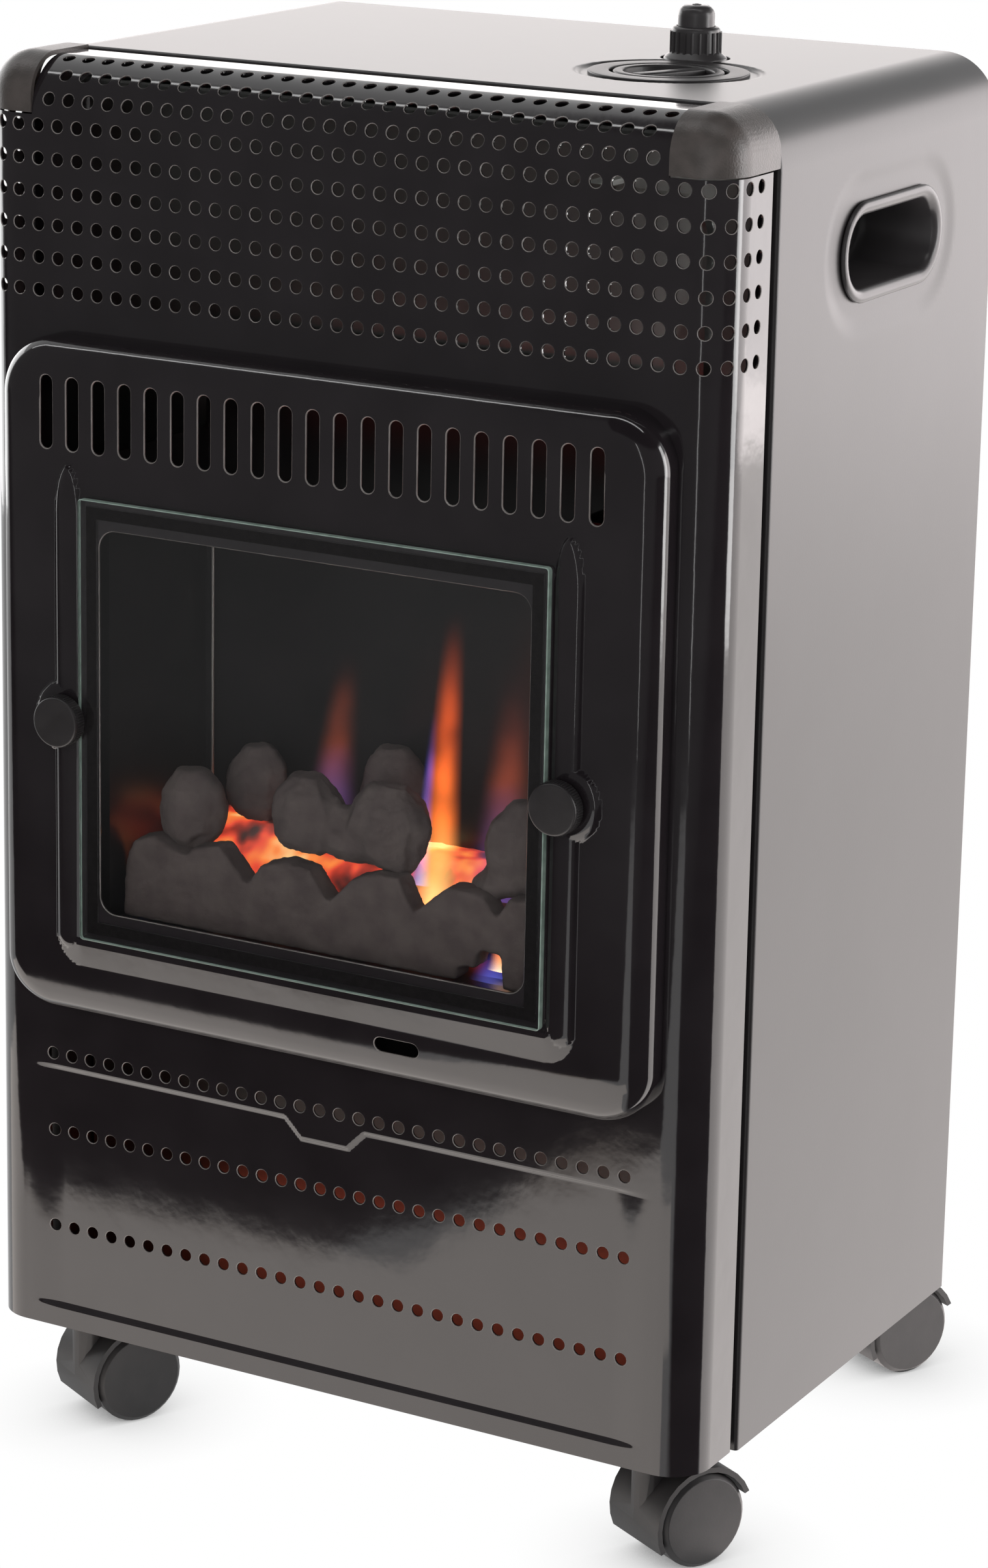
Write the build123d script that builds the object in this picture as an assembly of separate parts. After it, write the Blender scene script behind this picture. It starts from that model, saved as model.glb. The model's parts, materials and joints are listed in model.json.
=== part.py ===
from build123d import *
import os
from math import copysign, cos, degrees, pi, radians, sin

# A portable gas cabinet heater: a folded steel cabinet on four twin-wheel casters, with a gas
# bottle bay behind a lift-off rear cover and a glazed coal-effect fire in front. Millimetres,
# X to the right, Y to the back, Z up. The parts are modelled with the front panel's face at Y 0
# and the floor at Z 0, and are then centred on their footprint as they are saved.

# Sheet steel and clearances
SHEET = 1.2                 # thickness of every folded sheet
SEAT_GAP = 0.3              # gap between a moving piece and its seat
RUNNING_FIT = 0.05          # radial clearance of a turning or sliding pair

# Cabinet: one sheet folded over the top and both sides
CABINET_WIDTH = 420.0
CABINET_TOP = 736.0
CABINET_BOTTOM = 63.0
CABINET_FRONT = 50.0
CABINET_BACK = 304.0
CABINET_EDGE_R = 30.0
CABINET_RETURN = 11.0       # width of the return flanges round its front and back

# Front panel: wraps round both front corners and rolls back over the top
PANEL_STEP = 1.0            # the panel stands in from the cabinet's sides and top
PANEL_LIFT = 1.5            # and up from the cabinet's lower edge
PANEL_WIDTH = CABINET_WIDTH - 2 * PANEL_STEP
PANEL_TOP = CABINET_TOP - PANEL_STEP
PANEL_BOTTOM = CABINET_BOTTOM + PANEL_LIFT
PANEL_CORNER_R = 22.0
PANEL_CREST_R = 28.0
PANEL_RETURN = 8.0
PANEL_GROOVE = 4.0          # shadow gap between panel and cabinet
PANEL_PRESSING = 2.0        # depth of the pressed lower field
FIELD_MARGIN = 30.0         # from the field's ends to the panel's sides
FIELD_HALF = PANEL_WIDTH / 2 - FIELD_MARGIN
FIELD_BOTTOM = 75.0
FIELD_TOP = 211.0
FIELD_DIP = (-3.0, 46.0, 10.0)   # centre, width and depth of the dip in the field's top edge

# Perforations
HOLE_R = 3.25
HOLE_SIDES = 6
GRID_PITCH = 11.6
GRID_COLUMNS = 41
GRID_ROWS = 6
GRID_ROW_PITCH = 16.5
GRID_DROP = 33.0            # from the panel's top to the grille's top row
GRID_TOP_ROW = PANEL_TOP - GRID_DROP
LOWER_ROWS = (217.0, 174.3, 120.9)
LOWER_HOLES = 30
LOWER_PITCH = 11.6

# Corner caps
CAP_WIDTH = 31.5            # from the panel's side inwards
CAP_HEIGHT = 28.0
CAP_BOTTOM = CABINET_TOP - CAP_HEIGHT
CAP_PROUD = 0.8
CAP_WALL = 2.4
CAP_EDGE_R = 21.0

# Fire surround: a pressed frame standing proud of the panel
SURROUND_WIDTH = 376.0
SURROUND_HEIGHT = 354.0
SURROUND_CENTRE = 422.0
SURROUND_TOP = SURROUND_CENTRE + SURROUND_HEIGHT / 2
SURROUND_PROUD = 21.4
SURROUND_CORNER_R = 30.0
SURROUND_EDGE_R = 14.0
APERTURE_MARGIN = 10.0      # how far the surround overlaps the hole in the panel
SLOT_COUNT = 21
SLOT_PITCH = 15.53
SLOT_LENGTH = 37.0
SLOT_WIDTH = 7.0
SLOT_DROP = 35.0            # from the surround's top to the middle of the slots
SLOT_CENTRE = SURROUND_TOP - SLOT_DROP
WINDOW_WIDTH = 245.0
WINDOW_HEIGHT = 199.0
WINDOW_DROP = 14.5          # the window sits below the surround's middle
WINDOW_CENTRE = SURROUND_CENTRE - WINDOW_DROP
WINDOW_CORNER_R = 9.0
RIB_WIDTH = 16.8
RIB_PROUD = 3.0
RIB_DROP = 61.0             # from the surround's top to the ends of the rib
RIB_TOP = SURROUND_TOP - RIB_DROP
RIB_BOSS_R = 20.3
LATCH_SLOT = (50.8, 8.2, 25.0, 7.5)    # centre X, drop below the rib, length and height

# Glass and the two turned knobs that hold it
GLASS_SIDE_LAP = 11.2       # how far the glass covers the surround beside the window
GLASS_END_LAP = 15.5        # and above and below it
GLASS_WIDTH = WINDOW_WIDTH + 2 * GLASS_SIDE_LAP
GLASS_HEIGHT = WINDOW_HEIGHT + 2 * GLASS_END_LAP
GLASS_THICKNESS = 4.0
GLASS_CORNER_R = 2.0
GASKET_THICKNESS = 1.0
GASKET_MARGIN = 4.0
GASKET_WIDTH = 6.0
KNOB_R = 13.5
KNOB_THICKNESS = 8.3
KNOB_CHAMFER = 1.2
KNOB_SIDES = 30
KNOB_SHANK_R = 3.0
KNOB_SHANK_LENGTH = 9.5
KNOB_NUT_SIZE = 5.5
KNOB_NUT_HEIGHT = 4.5

# Fire chamber
CHAMBER_SIDE_GAP = 9.5      # from the window's sides to the walls
CHAMBER_SILL = 12.0         # from the window's foot down to the floor
CHAMBER_WIDTH = WINDOW_WIDTH + 2 * CHAMBER_SIDE_GAP
CHAMBER_FLOOR = WINDOW_CENTRE - WINDOW_HEIGHT / 2 - CHAMBER_SILL
CHAMBER_HEAD = 3.0          # from the surround's top to the top of the rear wall
CHAMBER_TOP = SURROUND_TOP - CHAMBER_HEAD
CHAMBER_DEPTH = 90.0
CHAMBER_VENT_HALF = 24.0    # half height of the way out behind the slots
CHAMBER_SIDE_TOP = SLOT_CENTRE - CHAMBER_VENT_HALF
CHAMBER_FLANGE = 4.0        # how far the chamber's face plate passes the panel's hole

# Coal bed
FRET_END_GAP = 3.0
FRET_WIDTH = CHAMBER_WIDTH - 2 * FRET_END_GAP
FRET_FRONT = 8.0
FRET_DEPTH = 16.0
FRET_HEIGHT = 49.0
FRET_PITCH = 48.7
FRET_FIRST_VALLEY = -104.0
FRET_VALLEYS = 5
FRET_VALLEY_DEPTH = 20.0
FRET_VALLEY_HALF = 11.0
FRET_SHOULDER = 5.0
FRET_PORT = (86.0, 12.0, 10.0)    # centre X, width and height of the port at its foot
BED_END_GAP = 5.0
BED_WIDTH = CHAMBER_WIDTH - 2 * BED_END_GAP
BED_FRONT = 54.0
BED_HEIGHT = 44.0
BED_SLOPE = 14.0
COALS = (                   # centre X, Y and height over the floor, then half sizes in X, Y, Z
    ((-100.4, 30.0, 59.0, 20.5, 18.0, 20.5),),
    ((-89.0, 73.0, 63.5, 19.5, 15.5, 20.0),),
    ((-28.7, 26.0, 68.0, 22.0, 17.0, 20.5), (-5.0, 26.0, 63.0, 16.0, 11.0, 12.0),
     (18.7, 26.0, 68.5, 24.5, 18.0, 22.5)),
    ((-6.0, 72.5, 69.5, 20.5, 16.0, 26.0),),
    ((97.0, 30.0, 67.5, 25.0, 18.0, 25.0),),
)
COAL_SIDES = 8
COAL_RINGS = ((-1.0, 0.5), (-0.55, 0.88), (0.0, 1.0), (0.55, 0.86), (1.0, 0.42))

# Burner and pilot
BURNER_R = 8.0
BURNER_Y = 40.0
BURNER_RISE = 12.0          # from the chamber's floor
BURNER_Z = CHAMBER_FLOOR + BURNER_RISE
BURNER_LEFT = 20.0 - CHAMBER_WIDTH / 2
BURNER_END = CHAMBER_WIDTH / 2 + 16.0
BURNER_PORTS = 11
BURNER_PORT_PITCH = 20.0
PILOT_X = BURNER_LEFT - 9.0
PILOT_Y = BURNER_Y
PILOT_LENGTH = 14.0
PILOT_DEPTH = 18.0
PILOT_HEIGHT = 16.0

# Gas valve with its dial on the cabinet top
DIAL_X = 103.8
DIAL_Y = 141.0
BEZEL_R = 40.0
BEZEL_FLANGE = 1.8
DIAL_HOLE_R = 38.5
DIAL_DISH_DEPTH = 1.5
DIAL_DISH_R = 46.0
DIAL_R = 27.6
DIAL_GAP = 1.9              # dark ring between dial and bezel
DIAL_BOWL_R = 22.3
DIAL_BOWL_DEPTH = 8.5
DIAL_HEIGHT = 12.0
DIAL_GRIP_WIDTH = 7.5
DIAL_GRIP_TURN = 68.0
DIAL_HUB_R = 7.0
DIAL_HUB_LENGTH = 6.0
DIAL_TRAVEL = 4.0
STEM_R = 4.0
VALVE_WIDTH = 36.0
VALVE_DEPTH = 30.0
VALVE_DROP = 28.0           # from the cabinet's top
VALVE_HEIGHT = 40.0
VALVE_TOP = CABINET_TOP - VALVE_DROP
VALVE_BOTTOM = VALVE_TOP - VALVE_HEIGHT
NOZZLE_NUT = 8.0
NOZZLE_NUT_HEIGHT = 8.0
NOZZLE_R = 4.5
NOZZLE_LENGTH = 22.0
PIPE_R = 4.0
PIPE_BEND_R = 15.0
PIPE_RUN = 32.0             # from the burner's end to the upright run
PIPE_X = BURNER_END + PIPE_RUN
PIPE_DROP = 18.0            # from the valve's top
PIPE_TOP = VALVE_TOP - PIPE_DROP

# Igniter on the cabinet top
IGNITER_X = 90.0
IGNITER_Y = 197.0
IGNITER_HOLE_R = 17.6
SKIRT_R = 16.2
COLLAR_R = 13.4
COLLAR_NECK_R = 12.2
COLLAR_RIBS = 20
COLLAR_RISE = 16.0
BUTTON_R = 9.9
BUTTON_RISE = 27.0
BUTTON_TRAVEL = 6.0
IGNITER_FLANGE_R = 19.0
IGNITER_BODY_R = 11.5
IGNITER_BODY_LENGTH = 44.0
IGNITER_FLANGE = 2.0

# Recessed side handles
HANDLE_Y = 178.5
HANDLE_DROP = 80.0          # from the cabinet's top
HANDLE_Z = CABINET_TOP - HANDLE_DROP
HANDLE_LENGTH = 116.0
HANDLE_HEIGHT = 50.0
HANDLE_RIM = 6.0
HANDLE_PROUD = 2.0
HANDLE_WALL = 2.0
HANDLE_DEPTH = 42.0

# Base tray and rear cover
TRAY_LIFT = 1.0             # from the cabinet's lower edge
TRAY_BOTTOM = CABINET_BOTTOM + TRAY_LIFT
TRAY_WALL = 18.0
TRAY_NOSE_R = 12.0
TRAY_TAIL_GAP = 6.0         # between the tray's tail and the outside of the rear cover
COVER_INSET = 26.0          # from the cabinet's side
COVER_DEPTH = 42.0
COVER_DROP = 14.0           # from the cabinet's top
COVER_HALF = CABINET_WIDTH / 2 - COVER_INSET
COVER_BACK = CABINET_BACK + COVER_DEPTH
COVER_TOP = CABINET_TOP - COVER_DROP
COVER_FLANGE = 5.0
COVER_CORNER_R = 20.0
COVER_EDGE_R = 10.0
LOUVRE_ROWS = 5
LOUVRE_PITCH = 14.0
LOUVRE_LENGTH = 90.0
LOUVRE_HEIGHT = 5.0
BULKHEAD_GAP = 2.6          # behind the fire chamber
BULKHEAD_Y = CHAMBER_DEPTH + 2 * SHEET + BULKHEAD_GAP
BULKHEAD_RETURN = 14.0
DEFLECTOR_DROP = 10.0
DEFLECTOR_FRONT = 34.0

# Twin-wheel casters
WHEEL_R = 25.0
WHEEL_WIDTH = 18.3
WHEEL_CHAMFER = 2.5
WEB_HALF = 2.5
WEB_GAP = 0.7
WHEEL_SIDES = 36
CASTER_TRAIL = 20.0
CASTER_TURN = 62.0          # direction of trail, from +X towards +Y
HOOD_GAP = 1.2
HOOD_WALL = 2.8
HOOD_START = 22.0
HOOD_END = 205.0
CASTER_STEM_R = 5.5
CASTER_BOSS_R = 9.0
SOCKET_R = 8.0
SOCKET_PLATE = 26.0
SOCKET_FLANGE = 2.0
SOCKET_DEPTH = 24.0
AXLE_R = 3.0
ARCH_SIDES = 14
BOSS_SIDES = 16
FRONT_CASTER = (40.5, 34.0)     # in from the cabinet's side, back from the front
REAR_CASTER = (52.0, 34.0)      # in from the cabinet's side, forward from the cover's back


def block(x0, x1, y0, y1, z0, z1):
    """A box between two corners."""
    middle = Pos((x0 + x1) / 2, (y0 + y1) / 2, (z0 + z1) / 2)
    return middle * Box(x1 - x0, y1 - y0, z1 - z0)


def front_slab(outline, y_front, y_back):
    """An outline seen from the front, made solid from y_front back to y_back."""
    plane = Plane(origin=(0, y_back, 0), x_dir=(1, 0, 0), z_dir=(0, -1, 0))
    return extrude(plane * outline, amount=y_back - y_front)


def side_slab(outline, x0, x1):
    """An outline in Y and Z, made solid from x0 to x1."""
    plane = Plane(origin=(x0, 0, 0), x_dir=(0, 1, 0), z_dir=(1, 0, 0))
    return extrude(plane * outline, amount=x1 - x0)


def disc(x, y, z0, z1, radius):
    """An upright cylinder from z0 to z1."""
    return Pos(x, y, (z0 + z1) / 2) * Cylinder(radius, z1 - z0)


def ring(x, y, z0, z1, outer, inner):
    """An upright tube from z0 to z1."""
    return disc(x, y, z0, z1, outer) - disc(x, y, z0, z1, inner)


def across(x0, x1, y, z, radius):
    """A cylinder lying along X."""
    return Pos((x0 + x1) / 2, y, z) * Rot(0, 90, 0) * Cylinder(radius, x1 - x0)


def endwise(x, z, y0, y1, radius):
    """A cylinder lying along Y."""
    return Pos(x, (y0 + y1) / 2, z) * Rot(90, 0, 0) * Cylinder(radius, y1 - y0)


# ---------------------------------------------------------------- cabinet

def cabinet_block(inset, y0, y1):
    """The cabinet's outer form, drawn in by inset, between two depths."""
    half = CABINET_WIDTH / 2 - inset
    top = CABINET_TOP - inset
    body = block(-half, half, y0, y1, CABINET_BOTTOM, top)
    upper = body.edges().filter_by(Axis.Y).group_by(Axis.Z)[-1]
    return fillet(upper, CABINET_EDGE_R - inset)


def handle_outline(shrink):
    """The obround of a side handle, in Y and Z."""
    slot = SlotOverall(HANDLE_LENGTH - 2 * shrink, HANDLE_HEIGHT - 2 * shrink)
    return Pos(HANDLE_Y, HANDLE_Z) * slot


def cabinet_wrap():
    lower = CABINET_BOTTOM
    outer = cabinet_block(0, CABINET_FRONT, CABINET_BACK)
    outer -= disc(DIAL_X, DIAL_Y, CABINET_TOP - DIAL_DISH_DEPTH, CABINET_TOP, DIAL_DISH_R)
    hollow = cabinet_block(SHEET, CABINET_FRONT + SHEET, CABINET_BACK - SHEET)
    hollow -= disc(DIAL_X, DIAL_Y, CABINET_TOP - DIAL_DISH_DEPTH - SHEET, CABINET_TOP,
                   DIAL_DISH_R + SHEET)
    mouth = cabinet_block(CABINET_RETURN, CABINET_FRONT, CABINET_BACK)
    shell = outer - hollow - mouth
    shell -= disc(DIAL_X, DIAL_Y, CABINET_TOP - 4 * SHEET, CABINET_TOP, DIAL_HOLE_R)
    shell -= disc(IGNITER_X, IGNITER_Y, CABINET_TOP - 4 * SHEET, CABINET_TOP, IGNITER_HOLE_R)
    reach = CABINET_WIDTH / 2 + SHEET
    shell -= side_slab(handle_outline(HANDLE_RIM - SEAT_GAP), -reach, reach)
    return shell & block(-reach, reach, 0, CABINET_BACK, lower, CABINET_TOP)


def handle_cups():
    """Two moulded cups, each with a rim that laps the cabinet's side."""
    face = CABINET_WIDTH / 2
    rim = side_slab(handle_outline(0), face, face + HANDLE_PROUD)
    rim = chamfer(rim.faces().sort_by(Axis.X)[-1].edges(), HANDLE_PROUD / 2)
    cup = rim + side_slab(handle_outline(HANDLE_RIM), face - HANDLE_DEPTH, face)
    well = side_slab(handle_outline(HANDLE_RIM + HANDLE_WALL), face - HANDLE_DEPTH + HANDLE_WALL,
                     face + HANDLE_PROUD)
    cup -= well
    return Compound(children=[cup, mirror(cup, about=Plane.YZ)])


# ---------------------------------------------------------------- front panel

def panel_block(inset, z0):
    """The front panel's outer form, drawn in by inset: plan corners and a rolled crest."""
    back = CABINET_FRONT - PANEL_GROOVE
    half = PANEL_WIDTH / 2 - inset
    plan = block(-half, half, inset, back - inset, z0, PANEL_TOP - inset)
    plan = fillet(plan.edges().filter_by(Axis.Z).group_by(Axis.Y)[0], PANEL_CORNER_R - inset)
    roll = block(-half, half, inset, back - inset, z0, PANEL_TOP - inset)
    crest = roll.edges().filter_by(Axis.X).group_by(Axis.Z)[-1].group_by(Axis.Y)[0]
    return plan & fillet(crest, PANEL_CREST_R - inset)


def field_outline(grow):
    """The pressed field low on the panel, with a dip in its top edge."""
    centre, width, depth = FIELD_DIP
    half = FIELD_HALF + grow
    low, high = FIELD_BOTTOM - grow, FIELD_TOP + grow
    dip_half = width / 2 - grow
    points = [(-half, low), (half, low), (half, high), (centre + dip_half, high),
              (centre + dip_half - depth, high - depth),
              (centre - dip_half + depth, high - depth), (centre - dip_half, high),
              (-half, high)]
    return Polygon(*points, align=None)


def perforation(run, z):
    """A hole square to the sheet, at a distance run along it from the panel's middle."""
    side = copysign(1, run)
    flat = PANEL_WIDTH / 2 - PANEL_CORNER_R
    quarter = PANEL_CORNER_R * pi / 2
    past = abs(run) - flat
    turn = min(max(past, 0) / PANEL_CORNER_R, pi / 2)
    x = min(abs(run), flat) + PANEL_CORNER_R * sin(turn)
    y = PANEL_CORNER_R * (1 - cos(turn)) + max(past - quarter, 0)
    tangent = (cos(turn), side * sin(turn), 0)
    normal = (side * sin(turn), -cos(turn), 0)
    plane = Plane(origin=(side * x, y, z), x_dir=tangent, z_dir=normal)
    return extrude(plane * RegularPolygon(HOLE_R, HOLE_SIDES), amount=2 * SHEET, both=True)


def perforations():
    """The grille's columns wrap both corners; the lower rows stay on the flat."""
    middle = (GRID_COLUMNS - 1) / 2
    holes = [perforation((column - middle) * GRID_PITCH, GRID_TOP_ROW - row * GRID_ROW_PITCH)
             for row in range(GRID_ROWS) for column in range(GRID_COLUMNS)]
    start = -(LOWER_HOLES - 1) / 2 * LOWER_PITCH
    for z in LOWER_ROWS:
        drop = PANEL_PRESSING if z < FIELD_TOP else 0
        holes += [Pos(0, drop, 0) * perforation(start + count * LOWER_PITCH, z)
                  for count in range(LOWER_HOLES)]
    return holes


def cap_inner_x():
    return PANEL_WIDTH / 2 - CAP_WIDTH


def panel_aperture():
    """The hole in the panel behind the fire surround."""
    width = SURROUND_WIDTH - 2 * APERTURE_MARGIN
    height = SURROUND_HEIGHT - 2 * APERTURE_MARGIN
    return Pos(0, SURROUND_CENTRE) * Rectangle(width, height)


def front_panel():
    back = CABINET_FRONT - PANEL_GROOVE
    half = PANEL_WIDTH / 2
    outer = panel_block(0, PANEL_BOTTOM)
    outer -= front_slab(field_outline(0), 0, PANEL_PRESSING)
    hollow = panel_block(SHEET, PANEL_BOTTOM)
    hollow -= front_slab(field_outline(SHEET), 0, PANEL_PRESSING + SHEET)
    mouth = block(-half + PANEL_RETURN, half - PANEL_RETURN, PANEL_RETURN + PANEL_PRESSING, back,
                  PANEL_BOTTOM, PANEL_TOP - PANEL_RETURN)
    shell = outer - hollow - mouth
    for side in (-1, 1):
        near, far = sorted((side * cap_inner_x(), side * (half + SHEET)))
        shell -= block(near, far, -SHEET, back, CAP_BOTTOM, PANEL_TOP)
    shell -= front_slab(panel_aperture(), -SHEET, 2 * SHEET)
    return shell - perforations()


def corner_caps():
    """Moulded caps over both front top corners, where panel and cabinet meet."""
    def form(inset):
        half = PANEL_WIDTH / 2 + CAP_PROUD - inset
        body = block(-half, half, -CAP_PROUD + inset, CABINET_FRONT, CAP_BOTTOM,
                     CABINET_TOP + CAP_PROUD - inset)
        body = fillet(body.edges().filter_by(Axis.Z).group_by(Axis.Y)[0], PANEL_CORNER_R - inset)
        rim = body.edges().group_by(Axis.Z)[-1]
        rim = rim - rim.filter_by(lambda edge: edge.center().Y > CABINET_FRONT - SHEET)
        return fillet(rim, CAP_EDGE_R - inset)
    far = PANEL_WIDTH / 2 + 2 * CAP_PROUD
    window = block(cap_inner_x(), far, -2 * CAP_PROUD, CABINET_FRONT, CAP_BOTTOM,
                   CABINET_TOP + 2 * CAP_PROUD)
    cap = (form(0) - form(CAP_WALL)) & window
    return Compound(children=[cap, mirror(cap, about=Plane.YZ)])


# ---------------------------------------------------------------- fire surround

def knob_x():
    return GLASS_WIDTH / 2 + RIB_WIDTH / 2


def rib_outline(shrink):
    """The U-shaped rib round the glass, swollen round each knob."""
    width = RIB_WIDTH - 2 * shrink
    glass_bottom = WINDOW_CENTRE - GLASS_HEIGHT / 2
    foot = glass_bottom - RIB_WIDTH / 2
    reach = knob_x()
    legs = [Pos(side * reach, (foot + RIB_TOP) / 2) * SlotOverall(RIB_TOP - foot + width, width,
                                                                 rotation=90) for side in (-1, 1)]
    bosses = [Pos(side * reach, WINDOW_CENTRE) * Circle(RIB_BOSS_R - shrink) for side in (-1, 1)]
    sill = Pos(0, foot) * SlotOverall(2 * reach + width, width)
    outline = sill + legs + bosses
    inside = Pos(0, WINDOW_CENTRE) * Rectangle(GLASS_WIDTH + 2 * shrink, GLASS_HEIGHT + 2 * shrink)
    return outline - inside


def surround_form(inset):
    """The surround's pressed form, drawn in by inset."""
    outline = RectangleRounded(SURROUND_WIDTH - 2 * inset, SURROUND_HEIGHT - 2 * inset,
                               SURROUND_CORNER_R - inset)
    face = inset - SURROUND_PROUD
    body = front_slab(Pos(0, SURROUND_CENTRE) * outline, face, 0)
    body = fillet(body.faces().sort_by(Axis.Y)[0].edges(), SURROUND_EDGE_R - inset)
    return body + front_slab(rib_outline(inset), face - RIB_PROUD, face + SHEET)


def fire_surround():
    shell = surround_form(0) - surround_form(SHEET)
    face = -SURROUND_PROUD - RIB_PROUD
    through = 3 * SHEET - SURROUND_PROUD
    first = -(SLOT_COUNT - 1) / 2 * SLOT_PITCH
    slots = [Pos(first + count * SLOT_PITCH, SLOT_CENTRE) * SlotOverall(SLOT_LENGTH, SLOT_WIDTH,
                                                                      rotation=90)
             for count in range(SLOT_COUNT)]
    slot_x, slot_drop, slot_length, slot_height = LATCH_SLOT
    slot_z = WINDOW_CENTRE - GLASS_HEIGHT / 2 - RIB_WIDTH - slot_drop
    slots.append(Pos(slot_x, slot_z) * SlotOverall(slot_length, slot_height))
    shell -= [front_slab(slot, face, through) for slot in slots]
    window = RectangleRounded(WINDOW_WIDTH, WINDOW_HEIGHT, WINDOW_CORNER_R)
    shell -= front_slab(Pos(0, WINDOW_CENTRE) * window, face, through)
    for side in (-1, 1):
        shell -= endwise(side * knob_x(), WINDOW_CENTRE, face, through, KNOB_SHANK_R + RUNNING_FIT)
    return shell


def glass_pane():
    back = -SURROUND_PROUD - GASKET_THICKNESS
    outline = RectangleRounded(GLASS_WIDTH - 2 * SEAT_GAP, GLASS_HEIGHT - 2 * SEAT_GAP,
                               GLASS_CORNER_R)
    return front_slab(Pos(0, WINDOW_CENTRE) * outline, back - GLASS_THICKNESS, back)


def glass_gasket():
    width = GLASS_WIDTH - 2 * GASKET_MARGIN
    height = GLASS_HEIGHT - 2 * GASKET_MARGIN
    outer = Rectangle(width, height)
    frame = outer - Rectangle(width - 2 * GASKET_WIDTH, height - 2 * GASKET_WIDTH)
    return front_slab(Pos(0, WINDOW_CENTRE) * frame, -SURROUND_PROUD - GASKET_THICKNESS,
                      -SURROUND_PROUD)


def knob_seat():
    """The plane that the knobs clamp against: the front of the glass."""
    return -SURROUND_PROUD - GASKET_THICKNESS - GLASS_THICKNESS - SEAT_GAP


def glass_knob(side):
    seat = knob_seat()
    outline = Pos(side * knob_x(), WINDOW_CENTRE) * RegularPolygon(KNOB_R, KNOB_SIDES)
    head = front_slab(outline, seat - KNOB_THICKNESS, seat)
    head = chamfer(head.faces().sort_by(Axis.Y)[0].edges(), KNOB_CHAMFER)
    return head + endwise(side * knob_x(), WINDOW_CENTRE, seat, seat + KNOB_SHANK_LENGTH,
                          KNOB_SHANK_R)


def knob_nuts():
    """Two nuts pressed into the back of the surround's rib."""
    front = SHEET - SURROUND_PROUD - RIB_PROUD
    nuts = []
    for side in (-1, 1):
        outline = RegularPolygon(KNOB_NUT_SIZE, 6) - Circle(KNOB_SHANK_R + RUNNING_FIT)
        nuts.append(front_slab(Pos(side * knob_x(), WINDOW_CENTRE) * outline, front,
                               front + KNOB_NUT_HEIGHT))
    return Compound(children=nuts)


# ---------------------------------------------------------------- fire chamber

def firebox():
    """Face plate, walls and floor in one box, open in front and along its top."""
    half = CHAMBER_WIDTH / 2
    floor = CHAMBER_FLOOR - SHEET
    back = SHEET + CHAMBER_DEPTH
    walls = block(-half - SHEET, half + SHEET, SHEET, back + SHEET, floor, CHAMBER_SIDE_TOP)
    walls -= block(-half, half, SHEET, back, CHAMBER_FLOOR, CHAMBER_SIDE_TOP)
    rear = block(-half - SHEET, half + SHEET, back, back + SHEET, floor, CHAMBER_TOP)
    plate_width = SURROUND_WIDTH - 2 * APERTURE_MARGIN + 2 * CHAMBER_FLANGE
    plate_height = SURROUND_HEIGHT - 2 * APERTURE_MARGIN + 2 * CHAMBER_FLANGE
    plate = Pos(0, SURROUND_CENTRE) * Rectangle(plate_width, plate_height)
    mouth = Pos(0, (CHAMBER_FLOOR + CHAMBER_SIDE_TOP) / 2) * Rectangle(
        CHAMBER_WIDTH, CHAMBER_SIDE_TOP - CHAMBER_FLOOR)
    vent = Pos(0, SLOT_CENTRE) * Rectangle(SLOT_COUNT * SLOT_PITCH, 2 * CHAMBER_VENT_HALF)
    face = front_slab(plate - mouth - vent, SHEET, 2 * SHEET)
    box = face + walls + rear
    return box - across(0, BURNER_END, BURNER_Y, BURNER_Z, BURNER_R + SEAT_GAP)


def coal_fret():
    """The refractory front: a row of rounded humps over a straight foot."""
    top = CHAMBER_FLOOR + FRET_HEIGHT
    body = Pos(0, CHAMBER_FLOOR + FRET_HEIGHT / 2) * Rectangle(FRET_WIDTH, FRET_HEIGHT)
    for count in range(FRET_VALLEYS):
        x = FRET_FIRST_VALLEY + count * FRET_PITCH
        body -= Polygon((x, top - FRET_VALLEY_DEPTH), (x + FRET_VALLEY_HALF, top),
                        (x - FRET_VALLEY_HALF, top), align=None)
    shoulders = body.vertices().group_by(Axis.Y)[-1]
    body = chamfer(shoulders, FRET_SHOULDER)
    port_x, port_width, port_height = FRET_PORT
    body -= Pos(port_x, CHAMBER_FLOOR + port_height) * Rectangle(port_width, port_height)
    return front_slab(body, FRET_FRONT, FRET_FRONT + FRET_DEPTH)


def fuel_bed():
    """The refractory block behind the burner, sloped towards it."""
    back = SHEET + CHAMBER_DEPTH
    top = CHAMBER_FLOOR + BED_HEIGHT
    outline = Polygon((BED_FRONT, CHAMBER_FLOOR), (back, CHAMBER_FLOOR), (back, top),
                      (BED_FRONT + BED_SLOPE, top), (BED_FRONT, top - BED_SLOPE), align=None)
    return side_slab(outline, -BED_WIDTH / 2, BED_WIDTH / 2)


def coal_lump(x, y, z, half_x, half_y, half_z):
    """A faceted lump: the hull of a stack of eight-sided rings."""
    middle = CHAMBER_FLOOR + z
    corners = [(x + half_x * share * cos(2 * pi * side / COAL_SIDES),
                y + half_y * share * sin(2 * pi * side / COAL_SIDES), middle + rise * half_z)
               for rise, share in COAL_RINGS for side in range(COAL_SIDES)]
    return ConvexPolyhedron(corners, align=None)


def coal(lumps):
    """One moulded coal, flat where it beds on the fret and the block behind."""
    shape = coal_lump(*lumps[0])
    for lump in lumps[1:]:
        shape += coal_lump(*lump)
    return shape - coal_fret() - fuel_bed()


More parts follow.
